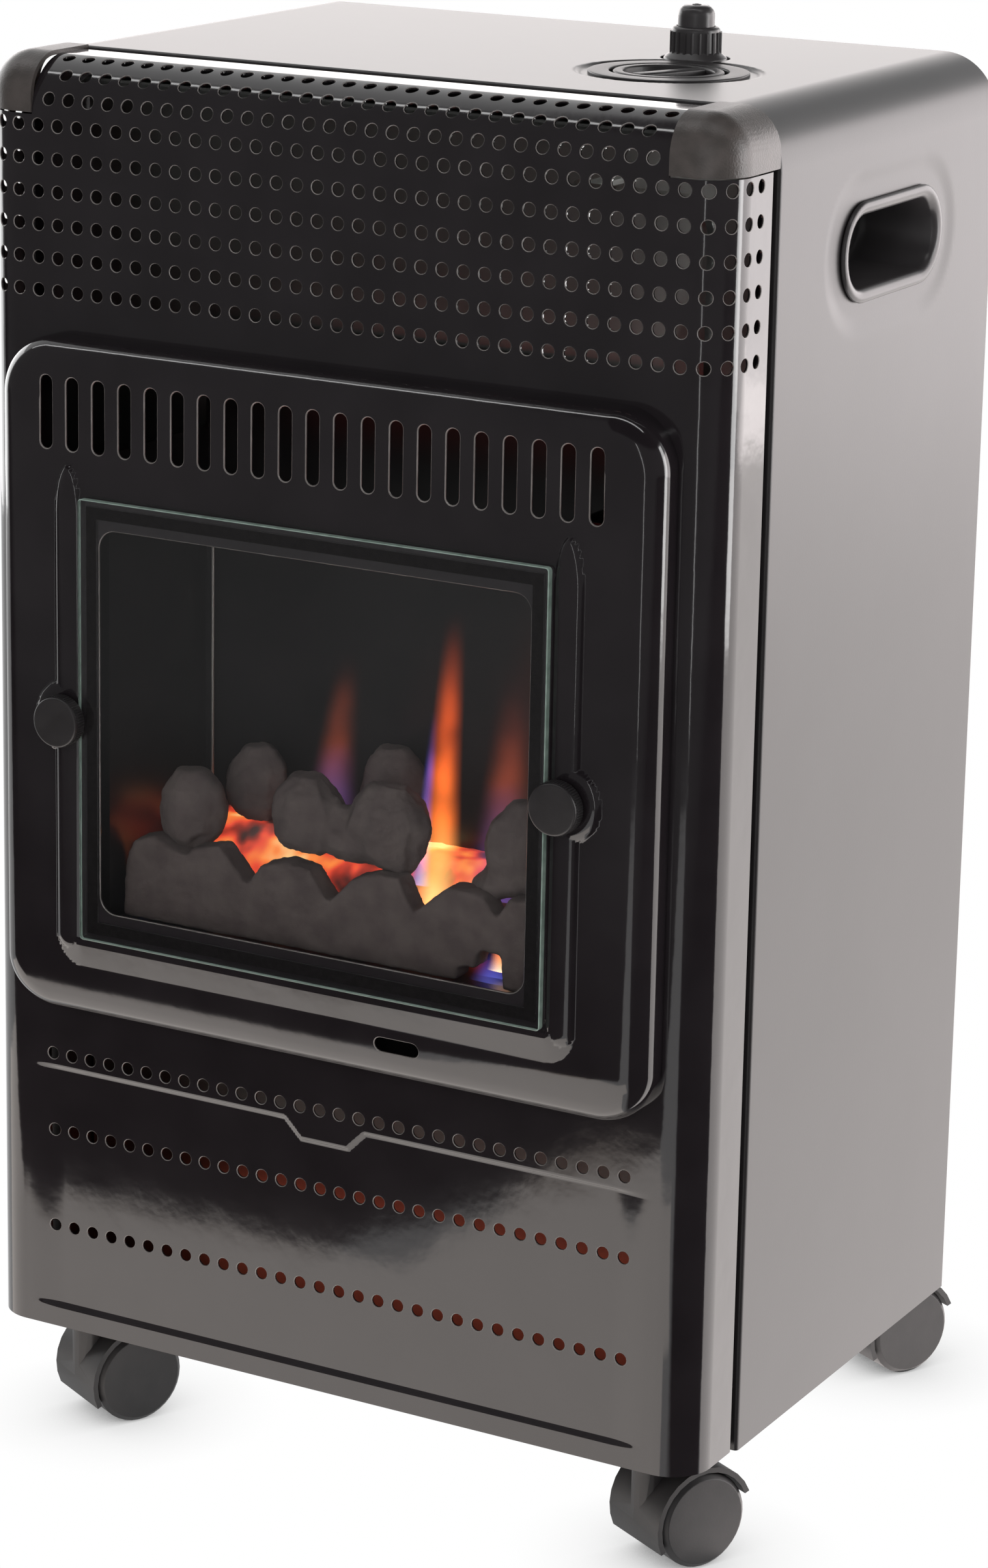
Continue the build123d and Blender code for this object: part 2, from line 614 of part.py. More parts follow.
def burner():
    """A tube burner with a row of ports, closed at its left end."""
    tube = across(BURNER_LEFT, BURNER_END, BURNER_Y, BURNER_Z, BURNER_R)
    first = -(BURNER_PORTS - 1) / 2 * BURNER_PORT_PITCH
    for count in range(BURNER_PORTS):
        x = first + count * BURNER_PORT_PITCH
        tube -= block(x - SHEET, x + SHEET, BURNER_Y - BURNER_R / 2, BURNER_Y + BURNER_R / 2,
                      BURNER_Z + BURNER_R / 2, BURNER_Z + BURNER_R)
    foot = block(BURNER_LEFT, BURNER_LEFT + 2 * BURNER_R, BURNER_Y - BURNER_R / 2,
                 BURNER_Y + BURNER_R / 2, CHAMBER_FLOOR, BURNER_Z)
    return tube + foot


def pilot_burner():
    """A folded hood on a bracket at the burner's end."""
    x0, x1 = PILOT_X - PILOT_LENGTH / 2, PILOT_X + PILOT_LENGTH / 2
    y0, y1 = PILOT_Y - PILOT_DEPTH / 2, PILOT_Y + PILOT_DEPTH / 2
    top = CHAMBER_FLOOR + PILOT_HEIGHT
    hood = block(x0, x1, y0, y1, CHAMBER_FLOOR, top)
    return hood - block(x0 + SHEET, x1, y0 + SHEET, y1 - SHEET, CHAMBER_FLOOR + SHEET,
                        top - SHEET)


def pilot_rod(y, radius, height):
    """An upright rod beside the pilot hood."""
    x = PILOT_X - 2
    foot = CHAMBER_FLOOR + PILOT_HEIGHT
    return Pos(x, y) * extrude(Pos(0, 0, foot) * RegularPolygon(radius, 8), amount=height)


# ---------------------------------------------------------------- gas train

def valve_stem():
    top = dial_top() - DIAL_BOWL_DEPTH - 2 * SHEET
    return disc(DIAL_X, DIAL_Y, VALVE_TOP - VALVE_WIDTH / 2, top, STEM_R)


def gas_valve():
    body = block(DIAL_X - VALVE_WIDTH / 2, DIAL_X + VALVE_WIDTH / 2, DIAL_Y - VALVE_DEPTH / 2,
                 DIAL_Y + VALVE_DEPTH / 2, VALVE_BOTTOM, VALVE_TOP)
    body = chamfer(body.edges().filter_by(Axis.Z), 4 * SHEET)
    depth = VALVE_WIDTH / 2 + DIAL_TRAVEL + SHEET
    return body - disc(DIAL_X, DIAL_Y, VALVE_TOP - depth, VALVE_TOP, STEM_R + RUNNING_FIT)


def valve_bracket():
    """An angle that hangs the valve from the bulkhead."""
    x0, x1 = DIAL_X - VALVE_WIDTH / 2, DIAL_X + VALVE_WIDTH / 2
    front = BULKHEAD_Y + SHEET
    back = DIAL_Y + VALVE_DEPTH / 2
    shelf = block(x0, x1, front, back, VALVE_BOTTOM - SHEET, VALVE_BOTTOM)
    tab = block(x0, x1, front, front + SHEET, VALVE_BOTTOM - VALVE_WIDTH, VALVE_BOTTOM)
    return shelf + tab - disc(DIAL_X, DIAL_Y, VALVE_BOTTOM - 2 * SHEET, VALVE_BOTTOM,
                              NOZZLE_NUT + SEAT_GAP)


def inlet_nozzle():
    """Hexagon and plain spigot for the hose, pointing down into the bay."""
    foot = VALVE_BOTTOM - NOZZLE_NUT_HEIGHT
    nut = extrude(Pos(DIAL_X, DIAL_Y, foot) * RegularPolygon(NOZZLE_NUT, 6),
                  amount=NOZZLE_NUT_HEIGHT)
    return nut + disc(DIAL_X, DIAL_Y, foot - NOZZLE_LENGTH, foot, NOZZLE_R)


def gas_pipe():
    """Rigid pipe from the valve through the bulkhead and down to the burner."""
    route = [(DIAL_X, DIAL_Y - VALVE_DEPTH / 2, PIPE_TOP), (DIAL_X, BURNER_Y, PIPE_TOP),
             (PIPE_X, BURNER_Y, PIPE_TOP), (PIPE_X, BURNER_Y, BURNER_Z),
             (BURNER_END, BURNER_Y, BURNER_Z)]
    path = FilletPolyline(*route, radius=PIPE_BEND_R)
    section = Plane(origin=path @ 0, z_dir=path % 0) * RegularPolygon(PIPE_R, 8)
    return sweep(section, path=path)


def dial_seat():
    """The bottom of the pressed dish that the bezel stands in."""
    return CABINET_TOP - DIAL_DISH_DEPTH


def dial_top():
    return dial_seat() + BEZEL_FLANGE


def dial_bezel():
    return ring(DIAL_X, DIAL_Y, dial_seat(), dial_top(), BEZEL_R, DIAL_R + DIAL_GAP)


def dial_knob():
    top = dial_top()
    body = disc(DIAL_X, DIAL_Y, top - DIAL_HEIGHT, top, DIAL_R)
    body -= disc(DIAL_X, DIAL_Y, top - DIAL_BOWL_DEPTH, top, DIAL_BOWL_R)
    grip = Pos(DIAL_X, DIAL_Y, top - DIAL_BOWL_DEPTH) * Rot(0, 0, DIAL_GRIP_TURN)
    bar = Box(2 * DIAL_BOWL_R, DIAL_GRIP_WIDTH, DIAL_BOWL_DEPTH,
              align=(Align.CENTER, Align.CENTER, Align.MIN))
    body += grip * bar
    hub = top - DIAL_HEIGHT - DIAL_HUB_LENGTH
    body += disc(DIAL_X, DIAL_Y, hub, top - DIAL_HEIGHT, DIAL_HUB_R)
    bore_top = top - DIAL_BOWL_DEPTH - 2 * SHEET + SEAT_GAP
    return body - disc(DIAL_X, DIAL_Y, hub, bore_top, STEM_R + RUNNING_FIT)


def igniter_seat():
    """The plane under the pressed dish, where the igniter hangs."""
    return dial_seat() - SHEET


def igniter_body():
    seat = igniter_seat()
    centre = Pos(IGNITER_X, IGNITER_Y, seat)
    flange = extrude(centre * RegularPolygon(IGNITER_FLANGE_R, 16), amount=-IGNITER_FLANGE)
    return flange + extrude(centre * RegularPolygon(IGNITER_BODY_R, 8),
                            amount=-IGNITER_BODY_LENGTH)


def igniter_collar():
    """Flared skirt, ribbed barrel and plain neck, bored for the button."""
    seat = igniter_seat()
    skirt_top = CABINET_TOP + 2 * SHEET
    neck_top = CABINET_TOP + COLLAR_RISE
    barrel_top = neck_top - 2 * SHEET
    outline = []
    for count in range(COLLAR_RIBS):
        for share, radius in ((0, COLLAR_NECK_R), (0.3, COLLAR_R), (0.7, COLLAR_R)):
            turn = 2 * pi * (count + share) / COLLAR_RIBS
            outline.append((radius * cos(turn), radius * sin(turn)))
    body = extrude(Pos(0, 0, skirt_top) * Polygon(*outline, align=None),
                   amount=barrel_top - skirt_top)
    body += extrude(Pos(0, 0, barrel_top) * RegularPolygon(COLLAR_NECK_R, COLLAR_RIBS),
                    amount=neck_top - barrel_top)
    foot = Pos(0, 0, seat) * RegularPolygon(SKIRT_R, COLLAR_RIBS)
    body += loft([foot, Pos(0, 0, skirt_top) * RegularPolygon(COLLAR_NECK_R, COLLAR_RIBS)])
    body -= disc(0, 0, seat, neck_top, BUTTON_R + RUNNING_FIT)
    return Pos(IGNITER_X, IGNITER_Y) * body


def igniter_button():
    top = CABINET_TOP + BUTTON_RISE
    body = disc(IGNITER_X, IGNITER_Y, igniter_seat() + BUTTON_TRAVEL + SEAT_GAP, top, BUTTON_R)
    return chamfer(body.edges().group_by(Axis.Z)[-1], BUTTON_R / 3)


# ---------------------------------------------------------------- base, bay and rear cover

def tray_outline(shrink):
    """The tray in plan: a nose inside the front panel and a tail inside the rear cover."""
    half = CABINET_WIDTH / 2 - SHEET - shrink
    main = (CABINET_FRONT + SHEET + shrink, CABINET_BACK - SHEET - shrink)
    nose_half = CABINET_WIDTH / 2 - CABINET_RETURN - shrink
    nose = Pos(0, (SHEET + PANEL_PRESSING + shrink + main[1]) / 2) * Rectangle(
        2 * nose_half, main[1] - SHEET - PANEL_PRESSING - shrink)
    nose = fillet(nose.vertices().group_by(Axis.Y)[0], TRAY_NOSE_R - shrink)
    body = Pos(0, (main[0] + main[1]) / 2) * Rectangle(2 * half, main[1] - main[0])
    tail_back = COVER_BACK - TRAY_TAIL_GAP - shrink
    tail_half = COVER_HALF - TRAY_TAIL_GAP - shrink
    tail = Pos(0, (main[0] + tail_back) / 2) * Rectangle(2 * tail_half, tail_back - main[0])
    return nose + body + tail


def caster_places():
    """Name and stem position of each caster."""
    front_x, front_y = CABINET_WIDTH / 2 - FRONT_CASTER[0], FRONT_CASTER[1]
    rear_x, rear_y = CABINET_WIDTH / 2 - REAR_CASTER[0], COVER_BACK - REAR_CASTER[1]
    return {"front_left": (-front_x, front_y), "front_right": (front_x, front_y),
            "rear_left": (-rear_x, rear_y), "rear_right": (rear_x, rear_y)}


def base_tray():
    rim = TRAY_BOTTOM + TRAY_WALL
    tray = extrude(Pos(0, 0, TRAY_BOTTOM) * tray_outline(0), amount=TRAY_WALL)
    tray -= extrude(Pos(0, 0, TRAY_BOTTOM + SHEET) * tray_outline(SHEET), amount=TRAY_WALL)
    for x, y in caster_places().values():
        tray -= disc(x, y, TRAY_BOTTOM, rim, SOCKET_R + SEAT_GAP)
    return tray


def caster_sockets():
    """Four flanged sockets, blind at the top, that hold the caster stems."""
    sockets = []
    for x, y in caster_places().values():
        socket = Pos(x, y, TRAY_BOTTOM - SOCKET_FLANGE / 2) * Box(SOCKET_PLATE, SOCKET_PLATE,
                                                                SOCKET_FLANGE)
        socket += disc(x, y, TRAY_BOTTOM, TRAY_BOTTOM + SOCKET_DEPTH + SHEET, SOCKET_R)
        socket -= disc(x, y, TRAY_BOTTOM - SOCKET_FLANGE, TRAY_BOTTOM + SOCKET_DEPTH,
                       CASTER_STEM_R + RUNNING_FIT)
        sockets.append(socket)
    return Compound(children=sockets)


def bulkhead():
    """Upright sheet between fire and gas bottle, with a return on each side."""
    half = CABINET_WIDTH / 2 - 2 * SHEET
    foot = TRAY_BOTTOM + SHEET
    top = CABINET_TOP - SHEET - DEFLECTOR_DROP
    wall = block(-half, half, BULKHEAD_Y, BULKHEAD_Y + SHEET, foot, top)
    for side in (-1, 1):
        near, far = sorted((side * half, side * (half - SHEET)))
        wall += block(near, far, BULKHEAD_Y, BULKHEAD_Y + BULKHEAD_RETURN, foot,
                      top - CABINET_EDGE_R)
    for side in (-1, 1):
        corner = Rot(0, 45, 0) * Box(CABINET_EDGE_R, 4 * BULKHEAD_RETURN, CABINET_EDGE_R)
        wall -= Pos(side * half, BULKHEAD_Y, top) * corner
    return wall - endwise(DIAL_X, PIPE_TOP, BULKHEAD_Y, BULKHEAD_Y + SHEET, PIPE_R + SEAT_GAP)


def heat_deflector():
    """Bent shield that turns the warm air forwards under the cabinet's top."""
    top = CABINET_TOP - SHEET - DEFLECTOR_DROP
    half = PANEL_WIDTH / 2 - PANEL_CORNER_R - PANEL_RETURN
    bend = (BULKHEAD_Y + DEFLECTOR_FRONT) / 2
    outline = Polygon((BULKHEAD_Y, top), (bend, top), (DEFLECTOR_FRONT, top - DEFLECTOR_DROP),
                      (DEFLECTOR_FRONT, top - DEFLECTOR_DROP - SHEET), (bend, top - SHEET),
                      (BULKHEAD_Y, top - SHEET), align=None)
    return side_slab(outline, -half, half)


def cover_outline(shrink):
    """The rear cover's pan, seen from the front."""
    half = COVER_HALF - shrink
    top = COVER_TOP - COVER_CORNER_R - shrink
    foot = TRAY_BOTTOM
    pan = Pos(0, (foot + top) / 2) * Rectangle(2 * half, top - foot)
    return fillet(pan.vertices().group_by(Axis.Y)[-1], COVER_CORNER_R - shrink)


def rear_cover():
    """A pressed pan with a flange that laps the cabinet's rear return, louvred at both ends."""
    front = CABINET_BACK + SEAT_GAP
    foot = TRAY_BOTTOM + SEAT_GAP
    pan = front_slab(cover_outline(0), front, COVER_BACK)
    rim = pan.faces().sort_by(Axis.Y)[-1].edges()
    rim = rim - rim.group_by(Axis.Z)[0]
    pan = fillet(rim, COVER_EDGE_R)
    hollow = front_slab(cover_outline(SHEET), front, COVER_BACK - SHEET)
    rim = hollow.faces().sort_by(Axis.Y)[-1].edges()
    rim = rim - rim.group_by(Axis.Z)[0]
    hollow = fillet(rim, COVER_EDGE_R - SHEET)
    flange_half = CABINET_WIDTH / 2 - COVER_FLANGE
    flange = block(-flange_half, flange_half, front, front + SHEET, foot,
                   CABINET_TOP - COVER_FLANGE)
    upper = flange.edges().filter_by(Axis.Y).group_by(Axis.Z)[-1]
    cover = fillet(upper, CABINET_EDGE_R - COVER_FLANGE) + pan - hollow
    cover -= block(-flange_half, flange_half, front, COVER_BACK, 0, foot)
    louvres = []
    for start in (TRAY_BOTTOM + 3 * TRAY_WALL, COVER_TOP - COVER_CORNER_R - 6 * LOUVRE_PITCH):
        for row in range(LOUVRE_ROWS):
            for side in (-1, 1):
                louvres.append(Pos(side * COVER_HALF / 2, COVER_BACK, start + row * LOUVRE_PITCH)
                               * Box(LOUVRE_LENGTH, 4 * SHEET, LOUVRE_HEIGHT))
    return cover - louvres


# ---------------------------------------------------------------- casters

def arch_radius():
    return WHEEL_R + HOOD_GAP


def arc(radius):
    """Points along the mudguard's arch."""
    sweep_angle = HOOD_END - HOOD_START
    turns = [radians(HOOD_START + sweep_angle * step / ARCH_SIDES)
             for step in range(ARCH_SIDES + 1)]
    return [(radius * cos(turn), radius * sin(turn)) for turn in turns]


def caster_hood():
    """Mudguard arch over both wheels, a web between them and a boss for the stem.

    Built round the stem at X 0, Y 0, with the trail along +X.
    """
    inner, outer = arch_radius(), arch_radius() + HOOD_WALL
    width = 2 * (WEB_HALF + WEB_GAP + WHEEL_WIDTH)
    centre = Pos(CASTER_TRAIL, 0, WHEEL_R)
    plane = Plane(origin=(0, width / 2, 0), x_dir=(1, 0, 0), z_dir=(0, -1, 0))
    arch = extrude(plane * Polygon(*arc(outer), *reversed(arc(inner)), align=None), amount=width)
    web_plane = Plane(origin=(0, WEB_HALF, 0), x_dir=(1, 0, 0), z_dir=(0, -1, 0))
    web = extrude(web_plane * (Polygon(*arc(outer), (0, 0), align=None)
                               + RegularPolygon(3 * AXLE_R, BOSS_SIDES)), amount=2 * WEB_HALF)
    boss = extrude(Pos(0, 0, WHEEL_R) * RegularPolygon(CASTER_BOSS_R, BOSS_SIDES),
                   amount=hood_top() - WHEEL_R)
    boss -= centre * extrude(plane * Polygon(*arc(inner), align=None), amount=width)
    hood = centre * (arch + web) + boss
    hood -= disc(0, 0, stem_foot(), hood_top(), CASTER_STEM_R)
    return hood - centre * Rot(90, 0, 0) * Cylinder(AXLE_R + RUNNING_FIT, width)


def hood_top():
    return TRAY_BOTTOM - SOCKET_FLANGE - SEAT_GAP


def stem_foot():
    """The stem stops inside the boss, above the wheels."""
    return hood_top() - CASTER_BOSS_R


def caster_stem():
    return disc(0, 0, stem_foot(), TRAY_BOTTOM + SOCKET_DEPTH - SEAT_GAP, CASTER_STEM_R)


def caster_wheels():
    """A moulded wheel on each side of the web, joined by the axle."""
    start = WEB_HALF + WEB_GAP
    wheels = Cylinder(AXLE_R, 2 * start)
    for side in (-1, 1):
        wheel = extrude(RegularPolygon(WHEEL_R, WHEEL_SIDES), amount=WHEEL_WIDTH)
        wheel = chamfer(wheel.faces().sort_by(Axis.Z)[-1].edges(), WHEEL_CHAMFER)
        wheels += Rot(90 - side * 90, 0, 0) * Pos(0, 0, start) * wheel
    return Pos(CASTER_TRAIL, 0, WHEEL_R) * Rot(90, 0, 0) * wheels


# ---------------------------------------------------------------- assembly

def all_nodes():
    nodes = {
        "cabinet_wrap": cabinet_wrap(), "front_panel": front_panel(),
        "corner_caps": corner_caps(),
        "fire_surround": fire_surround(), "glass_pane": glass_pane(),
        "glass_gasket": glass_gasket(), "glass_knob_left": glass_knob(-1),
        "glass_knob_right": glass_knob(1), "knob_nuts": knob_nuts(), "firebox": firebox(),
        "coal_fret": coal_fret(), "fuel_bed": fuel_bed(), "burner": burner(),
        "pilot_burner": pilot_burner(), "spark_electrode": pilot_rod(PILOT_Y - 5, 1.5, 16),
        "thermocouple": pilot_rod(PILOT_Y + 5, 1.8, 12), "gas_pipe": gas_pipe(),
        "gas_valve": gas_valve(), "valve_bracket": valve_bracket(), "valve_stem": valve_stem(),
        "inlet_nozzle": inlet_nozzle(), "dial_bezel": dial_bezel(), "dial_knob": dial_knob(),
        "igniter_body": igniter_body(), "igniter_collar": igniter_collar(),
        "igniter_button": igniter_button(), "handle_cups": handle_cups(),
        "base_tray": base_tray(),
        "caster_sockets": caster_sockets(), "bulkhead": bulkhead(),
        "heat_deflector": heat_deflector(), "rear_cover": rear_cover(),
    }
    for number, lumps in enumerate(COALS, start=1):
        nodes[f"coal_{number}"] = coal(lumps)
    for place, (x, y) in caster_places().items():
        turn = Pos(x, y, 0) * Rot(0, 0, CASTER_TURN)
        nodes[f"caster_hood_{place}"] = turn * caster_hood()
        nodes[f"caster_stem_{place}"] = turn * caster_stem()
        nodes[f"caster_wheels_{place}"] = turn * caster_wheels()
    return nodes


def save(nodes):
    """Centres the whole on its footprint and writes one file for each node."""
    os.makedirs("parts", exist_ok=True)
    boxes = [shape.bounding_box() for shape in nodes.values()]
    middle_x = (min(box.min.X for box in boxes) + max(box.max.X for box in boxes)) / 2
    middle_y = (min(box.min.Y for box in boxes) + max(box.max.Y for box in boxes)) / 2
    print("footprint centre", middle_x, middle_y)
    for name, shape in nodes.items():
        export_step(Pos(-middle_x, -middle_y, 0) * shape, f"parts/{name}.step")


save(all_nodes())
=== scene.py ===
# %% [markdown]
# # A portable gas cabinet heater
#
# A folded steel cabinet on four twin-wheel casters. The front is gloss black enamelled sheet with
# a perforated grille and a pressed frame round a glazed fire; the casing behind it has a satin
# powder coat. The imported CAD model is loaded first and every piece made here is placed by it.
#
# Sheet parts are made here as the factory makes them: a flat blank is laid out as a fine grid,
# its holes are punched by Geometry Nodes, and then it is folded and pressed by moving its points.

# %% Load the frame
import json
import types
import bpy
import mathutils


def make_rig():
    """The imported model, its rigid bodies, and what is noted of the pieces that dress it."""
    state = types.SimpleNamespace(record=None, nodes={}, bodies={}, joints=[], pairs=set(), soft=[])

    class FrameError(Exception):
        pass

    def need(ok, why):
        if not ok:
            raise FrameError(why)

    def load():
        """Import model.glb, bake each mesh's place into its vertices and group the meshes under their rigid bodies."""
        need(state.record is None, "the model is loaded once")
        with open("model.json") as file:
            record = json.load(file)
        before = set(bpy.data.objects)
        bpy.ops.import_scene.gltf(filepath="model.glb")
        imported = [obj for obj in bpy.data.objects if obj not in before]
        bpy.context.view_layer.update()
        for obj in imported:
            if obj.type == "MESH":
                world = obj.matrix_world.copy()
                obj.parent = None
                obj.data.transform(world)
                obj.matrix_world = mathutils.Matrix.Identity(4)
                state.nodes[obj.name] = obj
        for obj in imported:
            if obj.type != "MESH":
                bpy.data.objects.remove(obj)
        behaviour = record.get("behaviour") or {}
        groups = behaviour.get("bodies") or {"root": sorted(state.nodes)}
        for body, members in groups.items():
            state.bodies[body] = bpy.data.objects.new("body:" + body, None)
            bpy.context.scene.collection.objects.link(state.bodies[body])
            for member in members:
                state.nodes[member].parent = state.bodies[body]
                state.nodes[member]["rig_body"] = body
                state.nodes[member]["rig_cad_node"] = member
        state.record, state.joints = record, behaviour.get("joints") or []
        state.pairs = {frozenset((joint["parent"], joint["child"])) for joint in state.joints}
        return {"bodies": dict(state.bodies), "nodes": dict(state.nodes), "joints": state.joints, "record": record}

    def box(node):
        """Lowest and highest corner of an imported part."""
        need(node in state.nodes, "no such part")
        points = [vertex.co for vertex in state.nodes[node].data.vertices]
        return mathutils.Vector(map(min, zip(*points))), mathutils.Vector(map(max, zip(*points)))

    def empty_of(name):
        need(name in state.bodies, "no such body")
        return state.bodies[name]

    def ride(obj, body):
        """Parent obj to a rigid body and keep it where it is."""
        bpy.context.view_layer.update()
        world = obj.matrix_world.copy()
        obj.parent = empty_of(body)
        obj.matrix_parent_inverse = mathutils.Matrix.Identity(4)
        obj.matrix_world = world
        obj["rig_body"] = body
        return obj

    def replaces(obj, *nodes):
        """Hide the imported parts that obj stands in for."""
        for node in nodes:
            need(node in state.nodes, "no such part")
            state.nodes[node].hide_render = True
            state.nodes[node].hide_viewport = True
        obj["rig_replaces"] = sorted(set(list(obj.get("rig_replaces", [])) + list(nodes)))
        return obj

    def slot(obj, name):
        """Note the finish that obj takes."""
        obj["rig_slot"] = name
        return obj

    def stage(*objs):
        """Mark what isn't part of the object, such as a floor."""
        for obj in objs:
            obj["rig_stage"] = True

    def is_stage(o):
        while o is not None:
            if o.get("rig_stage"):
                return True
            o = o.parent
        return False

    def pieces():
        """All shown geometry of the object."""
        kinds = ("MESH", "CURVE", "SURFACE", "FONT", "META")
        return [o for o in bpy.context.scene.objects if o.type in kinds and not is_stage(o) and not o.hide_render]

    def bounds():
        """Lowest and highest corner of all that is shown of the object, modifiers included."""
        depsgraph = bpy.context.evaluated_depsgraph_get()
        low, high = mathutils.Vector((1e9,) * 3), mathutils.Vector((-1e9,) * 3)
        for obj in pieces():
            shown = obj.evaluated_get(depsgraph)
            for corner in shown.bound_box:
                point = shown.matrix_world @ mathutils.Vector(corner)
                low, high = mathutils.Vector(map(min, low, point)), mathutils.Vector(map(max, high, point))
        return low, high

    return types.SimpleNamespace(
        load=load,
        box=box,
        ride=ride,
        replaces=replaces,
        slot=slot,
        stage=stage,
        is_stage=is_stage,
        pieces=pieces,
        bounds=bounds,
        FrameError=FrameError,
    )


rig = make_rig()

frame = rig.load()
cad_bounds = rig.bounds()
import json
import math
import bmesh
import bpy
import numpy as np
from mathutils import Euler, Matrix, Vector, noise
print("bodies", len(frame["bodies"]), "nodes", len(frame["nodes"]), "box", cad_bounds)

# %% [markdown]
# ## Measures
#
# The drawing of the heater has its front panel's face at depth 0 and the floor at height 0, in
# millimetres. The frame is centred on the footprint, so one shift turns drawing depth into frame
# depth. It is read from the front panel's own box instead of being typed.

# %% Measures
FRONT_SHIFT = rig.box("front_panel")[0][1]


def placed(points):
    """Drawing millimetres to frame metres."""
    points = np.asarray(points, float).reshape(-1, 3) / 1000
    points[:, 1] += FRONT_SHIFT
    return points


def drawn(node):
    """A CAD node's lowest and highest corners in drawing millimetres."""
    low, high = (np.array(corner, float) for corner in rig.box(node))
    shift = np.array((0, FRONT_SHIFT, 0))
    return (low - shift) * 1000, (high - shift) * 1000


SHEET = 1.2
(_, _, PANEL_FOOT), (PANEL_HALF, _, PANEL_TOP) = drawn("front_panel")
(_, CASING_FRONT, CASING_FOOT), (CASING_HALF, CASING_BACK, CASING_TOP) = drawn("cabinet_wrap")
print("front shift", round(FRONT_SHIFT, 5), "panel half width", round(PANEL_HALF, 2))

# %% [markdown]
# ## Camera
#
# A long lens from the front right, above the heater's middle and tipped down by about 15 degrees,
# so the top shows and the uprights lean together very slightly. Its place was worked out from the
# cabinet's known corners. The vertical shift only slides the picture down over the heater.

# %% Camera
def added(name, data):
    """A new object in the scene."""
    made = bpy.data.objects.new(name, data)
    bpy.context.scene.collection.objects.link(made)
    return made


camera_data = bpy.data.cameras.new("camera")
camera_data.sensor_fit = "AUTO"
camera_data.sensor_width = 36.0
camera_data.lens = 103.9586
camera_data.shift_y = -0.08015
camera_data.clip_start = 0.05
camera = added("camera", camera_data)
camera.location = (1.11418, -2.00698, 1.01429)
camera.rotation_euler = Euler([math.radians(a) for a in (75.437034, -1.053047, 29.332325)], "XYZ")
bpy.context.scene.camera = camera
bpy.context.scene.view_settings.view_transform = "Standard"
print("lens", camera_data.lens, "mm, camera at", tuple(round(v, 3) for v in camera.location))

# %% [markdown]
# ## Helpers for materials
#
# Colours are written as sRGB hex, as a colour picker gives them, and shaders want linear light, so
# one function converts them. A second one adds a node, sets its settings and fills its inputs, by
# name or in order, with a value, another node's output, or a node, which means its first output.

# %% Colour and node helpers
def linear(hex_colour):
    """An sRGB hex colour as linear RGBA."""
    channels = [int(hex_colour[i:i + 2], 16) / 255 for i in (1, 3, 5)]
    light = [c / 12.92 if c <= 0.04045 else ((c + 0.055) / 1.055) ** 2.4 for c in channels]
    return (*light, 1.0)


def add_node(tree, kind, inputs=(), **settings):
    """Adds a node; inputs are a dictionary, or values for the first inputs in order."""
    made = tree.nodes.new(kind)
    for name, value in settings.items():
        setattr(made, name, value)
    for name, value in inputs.items() if isinstance(inputs, dict) else enumerate(inputs):
        if isinstance(value, bpy.types.Node):
            value = value.outputs[0]
        if isinstance(value, bpy.types.NodeSocket):
            tree.links.new(value, made.inputs[name])
        else:
            made.inputs[name].default_value = value
    return made


def per_metre(size_mm):
    """The texture scale that makes one feature about size_mm wide."""
    return 1000.0 / size_mm


def new_material(name):
    """An empty node material, its tree, and object coordinates to start from."""
    material = bpy.data.materials.new(name)
    material.use_nodes = True
    material.node_tree.nodes.clear()
    coordinates = add_node(material.node_tree, "ShaderNodeTexCoord")
    return material, material.node_tree, coordinates.outputs["Object"]


def set_stops(ramp, *stops):
    """Gives a colour ramp its (position, hex colour) stops."""
    elements = ramp.color_ramp.elements
    for element, (position, colour) in zip(elements, (stops[0], stops[-1])):
        element.position, element.color = position, linear(colour)
    for position, colour in stops[1:-1]:
        elements.new(position).color = linear(colour)


print("white is", linear("#FFFFFF"), "and middle grey", round(linear("#808080")[0], 3))

# %% [markdown]
# Paint, plastic and ceramic differ in colour, gloss and the relief of their surface, not in kind.
# So one recipe makes all of them: a colour that drifts a little over patches of one size, and a
# stack of noise bumps whose sizes and heights are real ones in millimetres.

# %% Coated and moulded surfaces
def bumps(tree, where, layers):
    """Stacks noise bumps, each (feature size in mm, height in mm, strength, detail)."""
    below = {}
    for size, height, strength, detail in layers:
        pattern = add_node(tree, "ShaderNodeTexNoise",
                           {"Vector": where, "Scale": per_metre(size), "Detail": detail})
        relief = add_node(tree, "ShaderNodeBump", {"Height": pattern, "Strength": strength,
                                                   "Distance": height / 1000, **below})
        below = {"Normal": relief}
    return relief


def coated(name, low, high, patch, roughness, layers, ior=1.5):
    """A plain dielectric finish: a colour drifting over patches, and stacked bumps."""
    material, tree, where = new_material(name)
    pattern = add_node(tree, "ShaderNodeTexNoise",
                       {"Vector": where, "Scale": per_metre(patch), "Detail": 3.0})
    colour = add_node(tree, "ShaderNodeValToRGB", {"Fac": pattern})
    set_stops(colour, (0.35, low), (0.65, high))
    shader = add_node(tree, "ShaderNodeBsdfPrincipled",
                      {"Base Color": colour, "Roughness": roughness, "IOR": ior,
                       "Normal": bumps(tree, where, layers)})
    add_node(tree, "ShaderNodeOutputMaterial", {"Surface": shader})
    return material


print("recipe ready")
